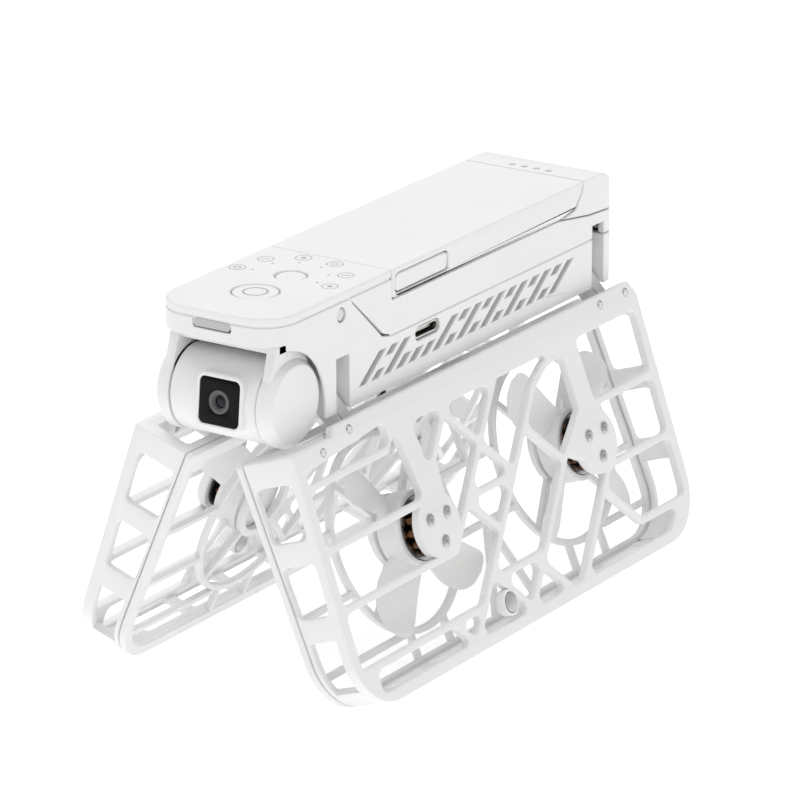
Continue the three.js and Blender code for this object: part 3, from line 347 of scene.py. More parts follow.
def machined_metal(name, colour, roughness=0.3, turning=4000.0):
    """Metal with fine tool marks across its own length and a little tarnish."""
    material, nodes, links, shader = new_material(name)
    place = nodes.new("ShaderNodeTexCoord").outputs["Object"]
    stretch = nodes.new("ShaderNodeMapping")
    stretch.inputs["Scale"].default_value = (1.0, 0.15, 1.0)
    links.new(place, stretch.inputs["Vector"])
    marks = noise(nodes, links, stretch.outputs["Vector"], turning, 3.0)
    tarnish = noise(nodes, links, place, 400.0, 4.0)
    ramp = nodes.new("ShaderNodeValToRGB")
    ramp.color_ramp.elements[0].color = (*[c * 0.8 for c in colour], 1)
    ramp.color_ramp.elements[1].color = (*colour, 1)
    links.new(tarnish, ramp.inputs["Fac"])
    links.new(ramp.outputs["Color"], shader.inputs["Base Color"])
    links.new(spread(nodes, links, marks, roughness - 0.08, roughness + 0.1), shader.inputs["Roughness"])
    bump = nodes.new("ShaderNodeBump")
    bump.inputs["Strength"].default_value = 0.12
    bump.inputs["Distance"].default_value = 0.00005
    links.new(marks, bump.inputs["Height"])
    links.new(bump.outputs["Normal"], shader.inputs["Normal"])
    shader.inputs["Metallic"].default_value = 1.0
    return material


FINISHES = {}


def finishes():
    """Each finish as (material, record slot), made once."""
    if FINISHES:
        return FINISHES
    colours = bpy.context.scene.drone_colours
    shell, cage = tuple(colours.shell), tuple(colours.cage)
    dark = tuple(colours.trim)
    FINISHES.update({
        "shell": (moulded_plastic("shell_moulding", shell), "shell_white"),
        "cage": (moulded_plastic("cage_moulding", cage, 0.5, 1800.0, 0.08, 0.98), "cage_white"),
        "blade": (moulded_plastic("blade_moulding", cage, 0.42, 1400.0, 0.04, 0.985, 0.1), "cage_white"),
        "print": (moulded_plastic("grey_marking", (0.42, 0.42, 0.42), 0.55, 3000.0, 0.03), "shell_white"),
        "light": (moulded_plastic("light_guide", (0.52, 0.52, 0.515), 0.3, 1500.0, 0.02), "light_guide"),
        "dark": (moulded_plastic("black_moulding", dark, 0.5, 2200.0, 0.08), "dark_plastic"),
        "window": (polished_glass("black_window", (0.004, 0.004, 0.005)), "black_glass"),
        "lens": (polished_glass("coated_lens", (0.006, 0.005, 0.010), 0.04, 0.0, 0.3), "lens_glass"),
        "ring": (moulded_plastic("lens_ring", (0.11, 0.11, 0.112), 0.35, 2600.0, 0.05), "dark_plastic"),
        "board": (moulded_plastic("solder_mask", (0.012, 0.05, 0.025), 0.35, 900.0, 0.1), "board_green"),
        "sink": (machined_metal("heat_sink_metal", (0.6, 0.6, 0.6), 0.35), "heat_sink_metal"),
        "steel": (machined_metal("nickel_plate", (0.55, 0.54, 0.52), 0.28), "bare_steel"),
        "screw": (machined_metal("screw_steel", (0.62, 0.62, 0.62), 0.34), "bare_steel"),
        "bell": (machined_metal("bell_steel", (0.20, 0.20, 0.20), 0.3), "motor_steel"),
        "rim": (machined_metal("bell_rim", (0.7, 0.7, 0.7), 0.25), "motor_steel"),
        "copper": (machined_metal("winding_copper", (0.17, 0.085, 0.045), 0.4, 7000.0), "copper_winding"),
        "cells": (moulded_plastic("cell_wrap", (0.03, 0.03, 0.035), 0.4, 700.0, 0.1), "cell_wrap"),
    })
    return FINISHES


def cover_node(node, finish):
    """Gives a CAD node that stays visible its finish."""
    material = finishes()[finish][0]
    target = frame["nodes"][node]
    target.data.materials.clear()
    target.data.materials.append(material)


# ---------------------------------------------------------------- settings

class DroneSizes(bpy.types.PropertyGroup):
    """Sizes that a user would change on the visible pieces."""

    edge_body: FloatProperty(name="Body edge", description="Rounding of the body's edges, in millimetres",
                             default=0.45, min=0.05, max=0.8)
    edge_cage: FloatProperty(name="Cage edge", description="Rounding of the cage's ribs, in millimetres",
                             default=0.28, min=0.05, max=0.5)
    blade_length: FloatProperty(name="Blade length", description="Propeller radius, in millimetres",
                                default=23.2, min=18.0, max=23.4)
    blade_chord: FloatProperty(name="Blade width", description="Greatest width of a blade, in millimetres",
                               default=9.6, min=5.0, max=11.0)


class DroneColours(bpy.types.PropertyGroup):
    """Colours of the mouldings."""

    shell: FloatVectorProperty(name="Shell", description="Body moulding", subtype="COLOR",
                               default=(0.86, 0.86, 0.855), min=0.0, max=1.0)
    cage: FloatVectorProperty(name="Cage", description="Cage and propeller moulding", subtype="COLOR",
                              default=(0.86, 0.86, 0.855), min=0.0, max=1.0)
    trim: FloatVectorProperty(name="Trim", description="Dark inner mouldings", subtype="COLOR",
                              default=(0.012, 0.012, 0.013), min=0.0, max=1.0)


# ---------------------------------------------------------------- camera, floor and light

class DRONE_OT_stage(bpy.types.Operator):
    """Camera, pale floor and soft studio light"""

    bl_idname = "drone.stage"
    bl_label = "Camera, floor and light"

    def execute(self, context):
        self.camera(context.scene)
        self.floor()
        self.lights(context.scene)
        return {"FINISHED"}

    def camera(self, scene):
        azimuth, elevation, roll = (math.radians(a) for a in (33.3215, 18.9119, -0.1665))
        distance, aside, above = 1090.88, 1.6129, -34.528
        back = Vector((math.sin(azimuth) * math.cos(elevation), -math.cos(azimuth) * math.cos(elevation),
                       math.sin(elevation)))
        right = Vector((math.cos(azimuth), math.sin(azimuth), 0))
        up = back.cross(right)
        turned_right = math.cos(roll) * right + math.sin(roll) * up
        turned_up = math.cos(roll) * up - math.sin(roll) * right
        place = back * distance + turned_right * aside + turned_up * above
        place = Vector(body_place([place])[0])
        camera = bpy.data.cameras.new("camera")
        camera.lens = 242.71
        camera.sensor_width = 36.0
        camera.clip_start = 0.05
        camera.clip_end = 20.0
        holder = bpy.data.objects.new("camera", camera)
        axes = Matrix((turned_right, turned_up, back)).transposed()
        holder.matrix_world = Matrix.Translation(place) @ axes.to_4x4()
        scene.collection.objects.link(holder)
        scene.camera = holder

    def floor(self):
        size = 6.0
        corners = np.array([[-size, -size, 0], [size, -size, 0], [size, size, 0], [-size, size, 0]])
        mesh = bpy.data.meshes.new("floor")
        mesh.from_pydata((corners - [0, 0, 0.0002]).tolist(), [], [(0, 1, 2, 3)])
        material, nodes, links, shader = new_material("studio_floor")
        shader.inputs["Base Color"].default_value = (0.93, 0.93, 0.93, 1)
        shader.inputs["Roughness"].default_value = 0.9
        shader.inputs["Specular IOR Level"].default_value = 0.1
        shader.inputs["Emission Color"].default_value = (1, 1, 1, 1)
        shader.inputs["Emission Strength"].default_value = 0.42
        mesh.materials.append(material)
        floor = bpy.data.objects.new("floor", mesh)
        bpy.context.scene.collection.objects.link(floor)

    def lights(self, scene):
        scene.view_settings.view_transform = "Standard"
        world = bpy.data.worlds.new("studio")
        world.use_nodes = True
        world.node_tree.nodes["Background"].inputs["Color"].default_value = (1, 1, 1, 1)
        world.node_tree.nodes["Background"].inputs["Strength"].default_value = 0.5
        scene.world = world
        for name, place, size, watts in (
            ("overhead_softbox", (-0.25, 0.1, 1.1), 1.2, 8.8),
            ("right_softbox", (1.0, -0.5, 0.6), 0.9, 1.3),
            ("front_softbox", (-0.5, -1.2, 0.5), 0.8, 0.3),
        ):
            light = bpy.data.lights.new(name, "AREA")
            light.size = size
            light.energy = watts
            holder = bpy.data.objects.new(name, light)
            holder.location = place
            aim = Vector((0, 0, 0.04)) - Vector(place)
            holder.rotation_euler = aim.to_track_quat("-Z", "Y").to_euler()
            scene.collection.objects.link(holder)


# ---------------------------------------------------------------- body

def boxed(name, low, high, edge, place, finish, body, node=None):
    """A box between two corners, in millimetres, as a finished piece with rounded edges."""
    points = np.array([[x, y, z] for z in (low[2], high[2]) for y in (low[1], high[1]) for x in (low[0], high[0])],
                      float)
    faces = [(0, 2, 3, 1), (4, 5, 7, 6), (0, 1, 5, 4), (2, 6, 7, 3), (0, 4, 6, 2), (1, 3, 7, 5)]
    made = piece(name, place(points), faces, finish[0], body)
    round_edges(made, edge, segments=3, clamp=True)
    if node:
        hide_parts(node)


def joined(name, meshes, finish, body, nodes=(), smooth=35.0):
    """Several meshes as one finished piece that stands for the given nodes."""
    bm = bmesh.new()
    for mesh in meshes:
        bm.from_mesh(mesh)
    whole = bpy.data.meshes.new(name)
    bm.to_mesh(whole)
    bm.free()
    for mesh in meshes:
        bpy.data.meshes.remove(mesh)
    made = finish_piece(name, whole, finish[0], body, smooth)
    if nodes:
        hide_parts(*nodes)


def array_mesh(name, points, faces):
    """A mesh from arrays, before it becomes part of a piece."""
    return list_mesh(name, np.asarray(points, float).reshape(-1, 3), np.asarray(faces).tolist())


def list_mesh(name, points, faces):
    """A mesh from points in metres and faces of any lengths."""
    mesh = bpy.data.meshes.new(name)
    mesh.from_pydata(points.tolist(), [], faces)
    return mesh


def turned_mesh(name, profile, place, sides=96):
    """A solid of revolution whose profile starts and ends on the axis, or closes on itself."""
    points, faces = turned(profile, sides)
    return array_mesh(name, place(points), faces)


def flat_marks(name, outlines, height, place, finish, body):
    """Thin printed marks: each outline, with its holes, filled at one height."""
    meshes = [plate_mesh(name, group, 0.03, 0.005, place(height), steps=0) for group in outlines]
    joined(name, meshes, finish, body)


def circle_line(x, y, radius, steps=40):
    """Points of a circle, as an (n, 2) array."""
    t = np.linspace(0, 2 * math.pi, steps, endpoint=False)
    return np.stack([x + radius * np.cos(t), y + radius * np.sin(t)], -1)


def ring_lines(x, y, outer, width):
    """Outlines of a ring: its outer circle and the hole in it."""
    return [circle_line(x, y, outer), circle_line(x, y, outer - width)]


def bar_line(x0, y0, x1, y1, width):
    """A straight stroke as a rectangle outline."""
    along = np.array([x1 - x0, y1 - y0], float)
    side = np.array([-along[1], along[0]]) / np.hypot(*along) * width / 2
    a, b = np.array([x0, y0], float), np.array([x1, y1], float)
    return np.array([a - side, b - side, b + side, a + side])


class DRONE_OT_body(bpy.types.Operator):
    """Shells, battery, buttons and inner pieces of the body"""

    bl_idname = "drone.body"
    bl_label = "Body"

    def execute(self, context):
        edge = context.scene.drone_sizes.edge_body
        kit = finishes()
        for node, width in (
            ("lower_shell", 0.25), ("upper_frame", 0.2), ("rear_cap", 0.3), ("control_panel", edge),
            ("battery_case", edge), ("battery_latch_left", 0.3), ("battery_latch_right", 0.3),
            ("power_button", 0.2), ("mode_button", 0.6),
        ):
            moulded(node, kit["shell"], width)
        for node, finish in (
            ("front_light_bar", "light"), ("tail_status_lights", "light"),
            ("downward_sensor_window", "window"),
            ("main_board", "board"), ("heat_sink", "sink"), ("charging_port", "steel"),
            ("battery_cells", "cells"), ("gimbal_bay_liner", "cage"), ("image_sensor", "dark"),
            ("side_screw_left", "screw"), ("side_screw_right", "screw"),
            ("hinge_pin_left_front", "steel"), ("hinge_pin_left_rear", "steel"),
            ("hinge_pin_right_front", "steel"), ("hinge_pin_right_rear", "steel"),
        ):
            cover_node(node, finish)
        self.marks(kit)
        self.port_tongue(kit)
        self.seam_backs(kit)
        return {"FINISHED"}

    def marks(self, kit):
        """Ring on the power button, and six plain mode signs in a fan, each with its dot."""
        def top(height):
            return lambda p: body_place(np.column_stack([p[:, 0], p[:, 1], p[:, 2] + height]))

        flat_marks("power_ring", [ring_lines(0, -48.5, 2.65, 0.42)], -0.14, top, kit["print"], "power_key")
        (fan_x, fan_y), sign_reach, dot_reach = (-0.5, -36.3), 11.3, 7.9
        outlines, dots = [], []
        for number, angle in enumerate((-10, 30, 70, 109, 148, 188)):
            c, s = math.cos(math.radians(angle)), math.sin(math.radians(angle))
            x, y = fan_x + sign_reach * c, fan_y + sign_reach * s
            outlines.append(ring_lines(x, y, 1.75, 0.22))
            dots.append([circle_line(fan_x + dot_reach * c, fan_y + dot_reach * s, 0.3, 16)])
            if number % 3 == 0:
                outlines.append([circle_line(x, y, 0.55, 20)])
            elif number % 3 == 1:
                outlines.append([bar_line(x - 0.8, y - 0.4, x + 0.8, y + 0.5, 0.3)])
            else:
                outlines.append(ring_lines(x, y, 0.8, 0.25))
        flat_marks("mode_signs", outlines, 0.005, top, kit["print"], "airframe")
        flat_marks("mode_dots", dots, 0.005, top, kit["print"], "airframe")

    def seam_backs(self, kit):
        """Inner ledges of the mouldings, just behind the seams of the nose and of the vented band."""
        set_in, corner_steps = 0.32, 14
        half = HALF_WIDTH - set_in
        nose_front, nose_rear, band_front, band_rear = -63.5 + set_in, -23.2, -23.0, 53.0
        front_arcs = rounded_rectangle(-half, half, nose_front, nose_rear, 7.7, corner_steps)[2 * corner_steps + 1:]
        nose = np.concatenate([front_arcs, [(half, nose_rear), (-half, nose_rear)]])
        band = [(-half, band_front), (half, band_front), (half, band_rear), (-half, band_rear)]
        for name, outline, low, high in (("nose_ledge", nose, -3.2, -1.2), ("band_ledge", band, -14.3, -12.9)):
            def level_place(p, middle=(low + high) / 2):
                return body_place(p + [0, 0, middle])

            mesh = plate_mesh(name, [outline], high - low, 0.1, level_place, 1)
            joined(name, [mesh], kit["shell"], "airframe")

    def port_tongue(self, kit):
        """The contact tongue in the middle of the charging port."""
        low, high = (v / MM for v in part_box("charging_port"))
        y, z = (low.y + high.y) / 2, (low.z + high.z) / 2
        half_width, half_height = 3.3, 0.35

        def same(p):
            return np.asarray(p) * MM

        boxed("port_tongue", (low.x + 1, y - half_width, z - half_height),
              (high.x - 0.9, y + half_width, z + half_height), 0.15, same, kit["dark"], "airframe")


# ---------------------------------------------------------------- camera head

BARREL_RADIUS, BARREL_HALF, LENS_X = 8.75, 10.1, 2.0
CAP_RADIUS, CAP_WIDTH, CAP_FLAT = 9.0, 3.5, 7.9
YOKE_TOP = -6.3  # the yoke's top, under the nose, from the body's top face
FRAME_HALF, FRAME_FRONT, FRAME_DEPTH = 5.5, 9.3, 4.4  # square frame round the window
GLASS_HALF, GLASS_FRONT, GLASS_DEPTH = 4.68, 9.18, 1.6


def ahead(points):
    """Camera-head points (across, up, forwards) to row metres."""
    return head_place(np.column_stack([points[:, 0], -points[:, 2], points[:, 1]]))


def still(points):
    """Points about the pitch axis that don't tilt with the lens, to row metres."""
    return head_place(points, 0.0)


class DRONE_OT_camera_head(bpy.types.Operator):
    """Yoke, barrel, window and lens of the gimbal"""

    bl_idname = "drone.camera_head"
    bl_label = "Camera head"

    def execute(self, context):
        kit = finishes()
        self.yoke(kit)
        self.barrel(kit)
        self.lens(kit)
        return {"FINISHED"}

    def yoke(self, kit):
        """Two round caps with a narrow chamfer, a plate and a post under the nose, and a neck from
        the plate down to each cap."""
        inner = BARREL_HALF + 0.3
        outer, top = inner + CAP_WIDTH, TOP_Z + YOKE_TOP - PITCH_AXIS[2]
        caps, necks = [], []
        for side in (-1, 1):
            profile = soft_profile([(inner, 0), (inner, CAP_RADIUS), (inner + 2.3, CAP_RADIUS),
                                    (outer, CAP_FLAT), (outer, 0)], 0.25, 4)
            points, faces = turned(profile * [side, 1])
            caps.append(array_mesh("yoke_cap", still(points), faces))

            def neck_place(p, middle=side * (inner + 1.1)):
                return still(np.column_stack([p[:, 2] + middle, p[:, 0], p[:, 1]]))

            neck = filleted([(-4.6, top), (4.4, top), (7.3, 3.0), (-7.6, 3.4)], 0.9)
            necks.append(plate_mesh("yoke_neck", [neck], 2.2, 0.35, neck_place, 3))
        joined("yoke_caps", caps, kit["shell"], "airframe", ("gimbal_yoke",), 22)
        boxed("yoke_plate", (-12.6, -3.9, top - 2.1), (12.6, 5.0, top), 0.3, still, kit["shell"], "airframe",
              "gimbal_yoke")
        joined("yoke_necks", necks, kit["shell"], "airframe", ("gimbal_yoke",), 30)
        boxed("yoke_post", (-6, 4, 8), (6, 9.0, top), 0.3, still, kit["shell"], "airframe", "gimbal_yoke")

    def barrel(self, kit):
        """Barrel turned about the pitch axis, with a pocket pressed into it for the lens and the
        square lens frame standing out of it."""
        half = BARREL_HALF
        end = soft_profile([(half - 1, BARREL_RADIUS), (half, BARREL_RADIUS), (half, 0)], 0.45, 5)
        along = np.linspace(1 - half, half - 1, 62)[1:-1]
        run = np.column_stack([along, np.full(len(along), BARREL_RADIUS)])
        points, faces = turned(np.concatenate([end[::-1] * [-1, 1], run, end]), 128)
        near = np.maximum(np.abs(points[:, 0] - LENS_X), np.abs(points[:, 2])) < GLASS_HALF - 0.08
        points[near & (points[:, 1] < 0), 1] = -6.2
        drum = array_mesh("barrel", head_place(points), faces)

        def standing(p):
            return ahead(p + [0, 0, FRAME_FRONT - FRAME_DEPTH / 2])

        outline = rounded_rectangle(LENS_X - FRAME_HALF, LENS_X + FRAME_HALF, -FRAME_HALF, FRAME_HALF, 1.9)
        mouth = rounded_rectangle(LENS_X - 4.72, LENS_X + 4.72, -4.72, 4.72, 1.2)
        frame_mesh = plate_mesh("lens_frame", [outline, mouth], FRAME_DEPTH, 0.3, standing, 3)
        joined("barrel_moulding", [drum, frame_mesh], kit["shell"], "camera_head", ("gimbal_barrel",), 40)

    def lens(self, kit):
        """The square window with the lens's stepped ring and its domed front element in it."""
        def behind_front(p):
            return ahead(p + [0, 0, GLASS_FRONT - GLASS_DEPTH / 2])

        outline = rounded_rectangle(LENS_X - GLASS_HALF, LENS_X + GLASS_HALF, -GLASS_HALF, GLASS_HALF, 1.2)
        hole = circle_line(LENS_X, 0, 2.3, 64)
        glass = plate_mesh("window", [outline, hole], GLASS_DEPTH, 0.08, behind_front, 2)
        joined("window_glass", [glass], kit["window"], "camera_head", ("camera_window",), 30)

        def turned_ahead(profile, name):
            points, faces = turned(profile, 64)
            along = np.column_stack([points[:, 1] + LENS_X, points[:, 2], points[:, 0]])
            return array_mesh(name, ahead(along), faces)

        steps = [(7.4, 2.35), (9.22, 2.35), (9.28, 2.25), (9.28, 2.05), (9.16, 1.95), (9.16, 1.75),
                 (9.0, 1.7), (9.0, 1.5), (8.7, 1.42), (8.3, 1.2), (7.4, 1.2), (7.4, 2.35)]
        ring = turned_ahead(steps, "lens_ring")
        joined("lens_trim", [ring], kit["ring"], "camera_head", ("lens_barrel",), 30)
        t = np.linspace(0, 1, 14)
        dome = [(8.15 + 0.45 * math.sqrt(1 - 0.75 * r * r), 1.35 * r) for r in t]
        element = turned_ahead([*dome, (7.6, 1.35), (7.6, 0)], "lens_dome")
        joined("lens_front", [element], kit["lens"], "camera_head", ("lens_element",), 30)


# ---------------------------------------------------------------- cages

CAGE_FRONT, CAGE_REAR, REACH, TOP, OUTER = -63.5, 65.0, 53.4, -12.99, 7.0
DEPTH, TAPER, SKIN, COVER, CORNER, RIB = 14.4, 0.07, 2.0, 1.5, 12.0, 1.4
MOTOR_U, MOTOR_Y = 25.9, {"front": -23.8, "rear": 36.7}
MAGNET = (-8.3, 47.2)
ROOT_HALF = math.sqrt(0.5)


# A line a*y + b*u = c on the outer face is kept as (a, b, c), with u down from the top edge.

def level(u):
    return (0.0, 1.0, u)


def upright(y):
    return (1.0, 0.0, y)


def falling(total):
    return (ROOT_HALF, ROOT_HALF, total * ROOT_HALF)


def rising(difference):
    return (ROOT_HALF, -ROOT_HALF, difference * ROOT_HALF)


def through(y0, u0, y1, u1):
    """The line a*y + b*u = c through two points of a face."""
    length = math.hypot(y1 - y0, u1 - u0)
    a, b = (u1 - u0) / length, -(y1 - y0) / length
    return (a, b, a * y0 + b * u0)


def crossing(first, second):
    (a, b, c), (d, e, f) = first, second
    determinant = a * e - b * d
    return np.array([(c * e - b * f) / determinant, (a * f - c * d) / determinant])


def opening(lines, rib=RIB):
    """The opening between ribs that run along the given lines, moved in by half a rib."""
    ring = np.array([crossing(lines[i - 1], line) for i, line in enumerate(lines)])
    turn = math.copysign(1, area_of(ring))
    moved = []
    for i, (a, b, c) in enumerate(lines):
        along = ring[(i + 1) % len(lines)] - ring[i]
        moved.append((a, b, c + math.copysign(rib / 2, turn * (along[0] * b - along[1] * a))))
    return np.array([crossing(moved[i - 1], line) for i, line in enumerate(moved)])


def filleted(corners, radius, steps=5):
    """Each corner of a polygon replaced by an arc that touches both of its edges."""
    corners = np.asarray(corners, float)
    count = len(corners)
    radii = np.broadcast_to(radius, count)
    out = []
    for i, corner in enumerate(corners):
        before, after = corners[i - 1] - corner, corners[(i + 1) % count] - corner
        room = min(np.linalg.norm(before), np.linalg.norm(after))
        before, after = before / np.linalg.norm(before), after / np.linalg.norm(after)
        half = math.acos(max(-1.0, min(1.0, float(before @ after)))) / 2
        r = min(radii[i], 0.45 * room * math.tan(half))
        if r < 0.05:
            out.append(corner)
            continue
        start, end = corner + before * r / math.tan(half), corner + after * r / math.tan(half)
        middle = (before + after) / np.linalg.norm(before + after)
        centre = corner + middle * r / math.sin(half)
        a0 = math.atan2(*(start - centre)[::-1])
        turn = math.atan2(*(end - centre)[::-1]) - a0
        turn = (turn + math.pi) % (2 * math.pi) - math.pi
        for k in range(steps + 1):
            angle = a0 + turn * k / steps
            out.append(centre + r * np.array([math.cos(angle), math.sin(angle)]))
    return np.array(out)


def face_outline():
    return filleted([(CAGE_FRONT, 0), (CAGE_FRONT, REACH), (CAGE_REAR, REACH), (CAGE_REAR, 0)],
                    [1, CORNER, CORNER, 2], 14)


def lattice_windows():
    """Each window of the outer lattice, as the lines that bound it in order."""
    front, rear = upright(CAGE_FRONT + 1.9), upright(CAGE_REAR - 1.9)
    beam, slope, tip = level(3.7), through(-61, 3.6, -31, 1.2), level(REACH - 1.7)
    f_high, f_middle, f_low, f_tip = level(7.5), level(20.2), level(32.4), level(45.4)
    r_high, r_low, r_tip = level(18.6), level(32), level(46)
    rail_a, rail_b, rail_c, rail_d, rail_e = (falling(v) for v in (-6.5, 11.6, 29, 49.8, 70.3))
    l_top, l_middle, l_rear, l_foot, l_nose = (rising(v) for v in (-17.7, -37, -2.8, -51.3, -73.5))
    arm_fl, arm_fr = through(-28.6, 4.8, -26, 18), through(-24.4, 5, -22.4, 18)
    arm_rl, arm_rr = through(33.4, 5, 34, 18), through(38, 5, 38.6, 18)
    crown, shoulder = through(-34, 7.5, -30, 3.5), through(25.6, 6.4, 20, 9.3)
    brow, cheek, corner = through(33, 5.2, 25.6, 6.4), through(30, 21.5, 24, 26), rising(-1.4)
    brace = upright(MOTOR_Y["front"] + 3.8)
    return [
        [front, slope, upright(-31.5), f_high],
        [front, f_high, crown, arm_fl, f_middle],
        [front, f_middle, upright(MOTOR_Y["front"]), f_low],
        [front, f_low, rail_b, l_middle, rail_c, f_tip],
        [upright(-57), f_tip, l_nose, tip],
        [l_nose, f_tip, rail_c],
        [arm_fr, beam, rail_a],
        [l_top, beam, rail_b],
        [rail_a, l_top, rail_b, brace],
        [rail_b, beam, upright(27.2), brow, shoulder, rail_c, l_top],
        [rail_b, l_top, level(23.9)],
        [level(23.9), rail_c, l_middle],
        [l_rear, rail_c, shoulder, brow, arm_rl, cheek],
        [l_rear, rail_d, level(41.5), rail_c],
        [level(41.5), rail_d, l_foot],
        [l_foot, tip, rail_c],
        [rail_d, through(25, 25, 38.5, 31.8), rail_e, tip, l_middle],
        [rail_d, l_middle, tip],
        [rail_e, corner, r_tip, through(61, 46, 54, 51.7), tip],
        [r_low, rear, r_tip, corner, rail_e],
        [arm_rr, beam, rear, r_high],
        [upright(MOTOR_Y["rear"] + 3), r_high, rear, r_low],
    ]


def face_place(side, w_middle):
    """Plate points (y, u, depth) about a middle depth w in from the outer face, to row metres."""
    def place(p):
        return cage_place(np.column_stack([OUTER - w_middle - p[:, 2], p[:, 0], TOP - p[:, 1]]), side)

    return place


def spot_place(side, y, u):
    """Points (depth in, along, up) about a spot (y, u) of the outer face, to row metres."""
    def place(p):
        return cage_place(np.column_stack([OUTER - p[:, 0], p[:, 1] + y, p[:, 2] + TOP - u]), side)

    return place


def band_path(s):
    """Place (y, u) and outward direction on the cage's outline, at length s from the front top."""
    straight, arc = REACH - CORNER, CORNER * math.pi / 2
    tip = CAGE_REAR - CAGE_FRONT - 2 * CORNER
    y, u = np.full_like(s, CAGE_FRONT), s.copy()
    ny, nu = np.full_like(s, -1.0), np.zeros_like(s)
    for start, cy, a0 in ((straight, CAGE_FRONT + CORNER, math.pi),
                          (straight + arc + tip, CAGE_REAR - CORNER, math.pi / 2)):
        on = (s > start) & (s <= start + arc)
        angle = a0 - (s[on] - start) / CORNER
        ny[on], nu[on] = np.cos(angle), np.sin(angle)
        y[on], u[on] = cy + CORNER * ny[on], straight + CORNER * nu[on]
    on = (s > straight + arc) & (s <= straight + arc + tip)
    y[on], u[on], ny[on], nu[on] = CAGE_FRONT + CORNER + s[on] - straight - arc, REACH, 0, 1
    on = s > straight + 2 * arc + tip
    y[on], u[on], ny[on], nu[on] = CAGE_REAR, straight - (s[on] - straight - 2 * arc - tip), 1, 0
    return y, u, ny, nu


def bent_strip(name, side, s0, s1, low, high, thickness=1.6, edge=0.3, steps=20):
    """A strip of the cage's edge between two lengths s along its outline: a rounded rectangle
    from depth low(s) to depth high(s), carried along the outline, with flat ends."""
    s = np.linspace(s0, s1, steps)
    y, u, ny, nu = band_path(s)
    rows = []
    for k in range(steps):
        ring = rounded_rectangle(low(s[k]), high(s[k]), 0.07, thickness + 0.07, edge, 3)
        rows.append(np.column_stack([OUTER - ring[:, 0], y[k] - ny[k] * ring[:, 1],
                                     TOP - (u[k] - nu[k] * ring[:, 1])]))
    count = len(rows[0])
    faces = grid_faces(steps, count, wrap=True).tolist()
    faces += [tuple(range(count)), tuple((steps - 1) * count + k for k in range(count))]
    return list_mesh(name, cage_place(np.concatenate(rows), side), faces)


def inner_depth(u):
    """Depth from the outer face to the cover's seat, which shrinks with the taper."""
    return DEPTH - TAPER * u - COVER - 0.3


def end_bands(side):
    """The plates across the cage's depth: a ladder down each end, a rounded corner with a slot at
    each end of the tip, and a slotted strip along the tip."""
    straight, arc = REACH - CORNER, CORNER * math.pi / 2
    tip = CAGE_REAR - CAGE_FRONT - 2 * CORNER
    meshes = []
    foot = straight - 4.0
    outline = filleted([(0.3, 0.1), (inner_depth(0), 0.1), (inner_depth(foot), foot), (0.3, foot)],
                       [0.4, 0.4, 0, 0])
    windows = [filleted([(2.3, a), (inner_depth(a) - 0.6, a), (inner_depth(b) - 0.6, b), (2.3, b)], 1.3)
               for a, b in ((5.4, 16.8), (21.6, 32.4))]
    for y, way in ((CAGE_FRONT, 1), (CAGE_REAR, -1)):
        def standing(p, y=y, way=way):
            across = y + way * (0.87 - p[:, 2])
            return cage_place(np.column_stack([OUTER - p[:, 0], across, TOP - p[:, 1]]), side)

        meshes.append(plate_mesh("ladder", [outline, *windows], 1.6, 0.3, standing, 2))
    whole = 2 * straight + 2 * arc + tip
    low, high = (lambda s: 0.3), (lambda s: inner_depth(float(band_path(np.array([s]))[1][0])))
    bend = straight + 0.42 * arc  # where a corner's slot ends
    for start, end, solid in (
        (foot - 0.2, straight + arc, (bend, straight + arc)),
        (whole - straight - arc, whole - foot + 0.2, (whole - straight - arc, whole - bend)),
    ):
        meshes.append(bent_strip("corner", side, *solid, low, high))
        meshes.append(bent_strip("corner_outer", side, start, end, low, lambda s: 2.5))
        meshes.append(bent_strip("corner_inner", side, start, end, lambda s: high(s) - 1.1, high))
    inner = inner_depth(REACH)
    strip = filleted([(CAGE_FRONT + CORNER - 0.5, 0.3), (CAGE_REAR - CORNER + 0.5, 0.3),
                      (CAGE_REAR - CORNER + 0.5, inner), (CAGE_FRONT + CORNER - 0.5, inner)], 0.3)
    count = 6
    room = (tip - 6) / count
    starts = [CAGE_FRONT + CORNER + 4.3 + i * room for i in range(count)]
    slots = [filleted([(a, 2.0), (b, 2.0), (b, inner - 1.6), (a, inner - 1.6)], 0.9)
             for a, b in ((a, a + room - 2.6) for a in starts)]

    def lying(p):
        return cage_place(np.column_stack([OUTER - p[:, 1], p[:, 0], TOP - REACH + 0.77 + p[:, 2]]), side)

    meshes.append(plate_mesh("tip", [strip, *slots], 1.4, 0.25, lying, 2))
    return meshes


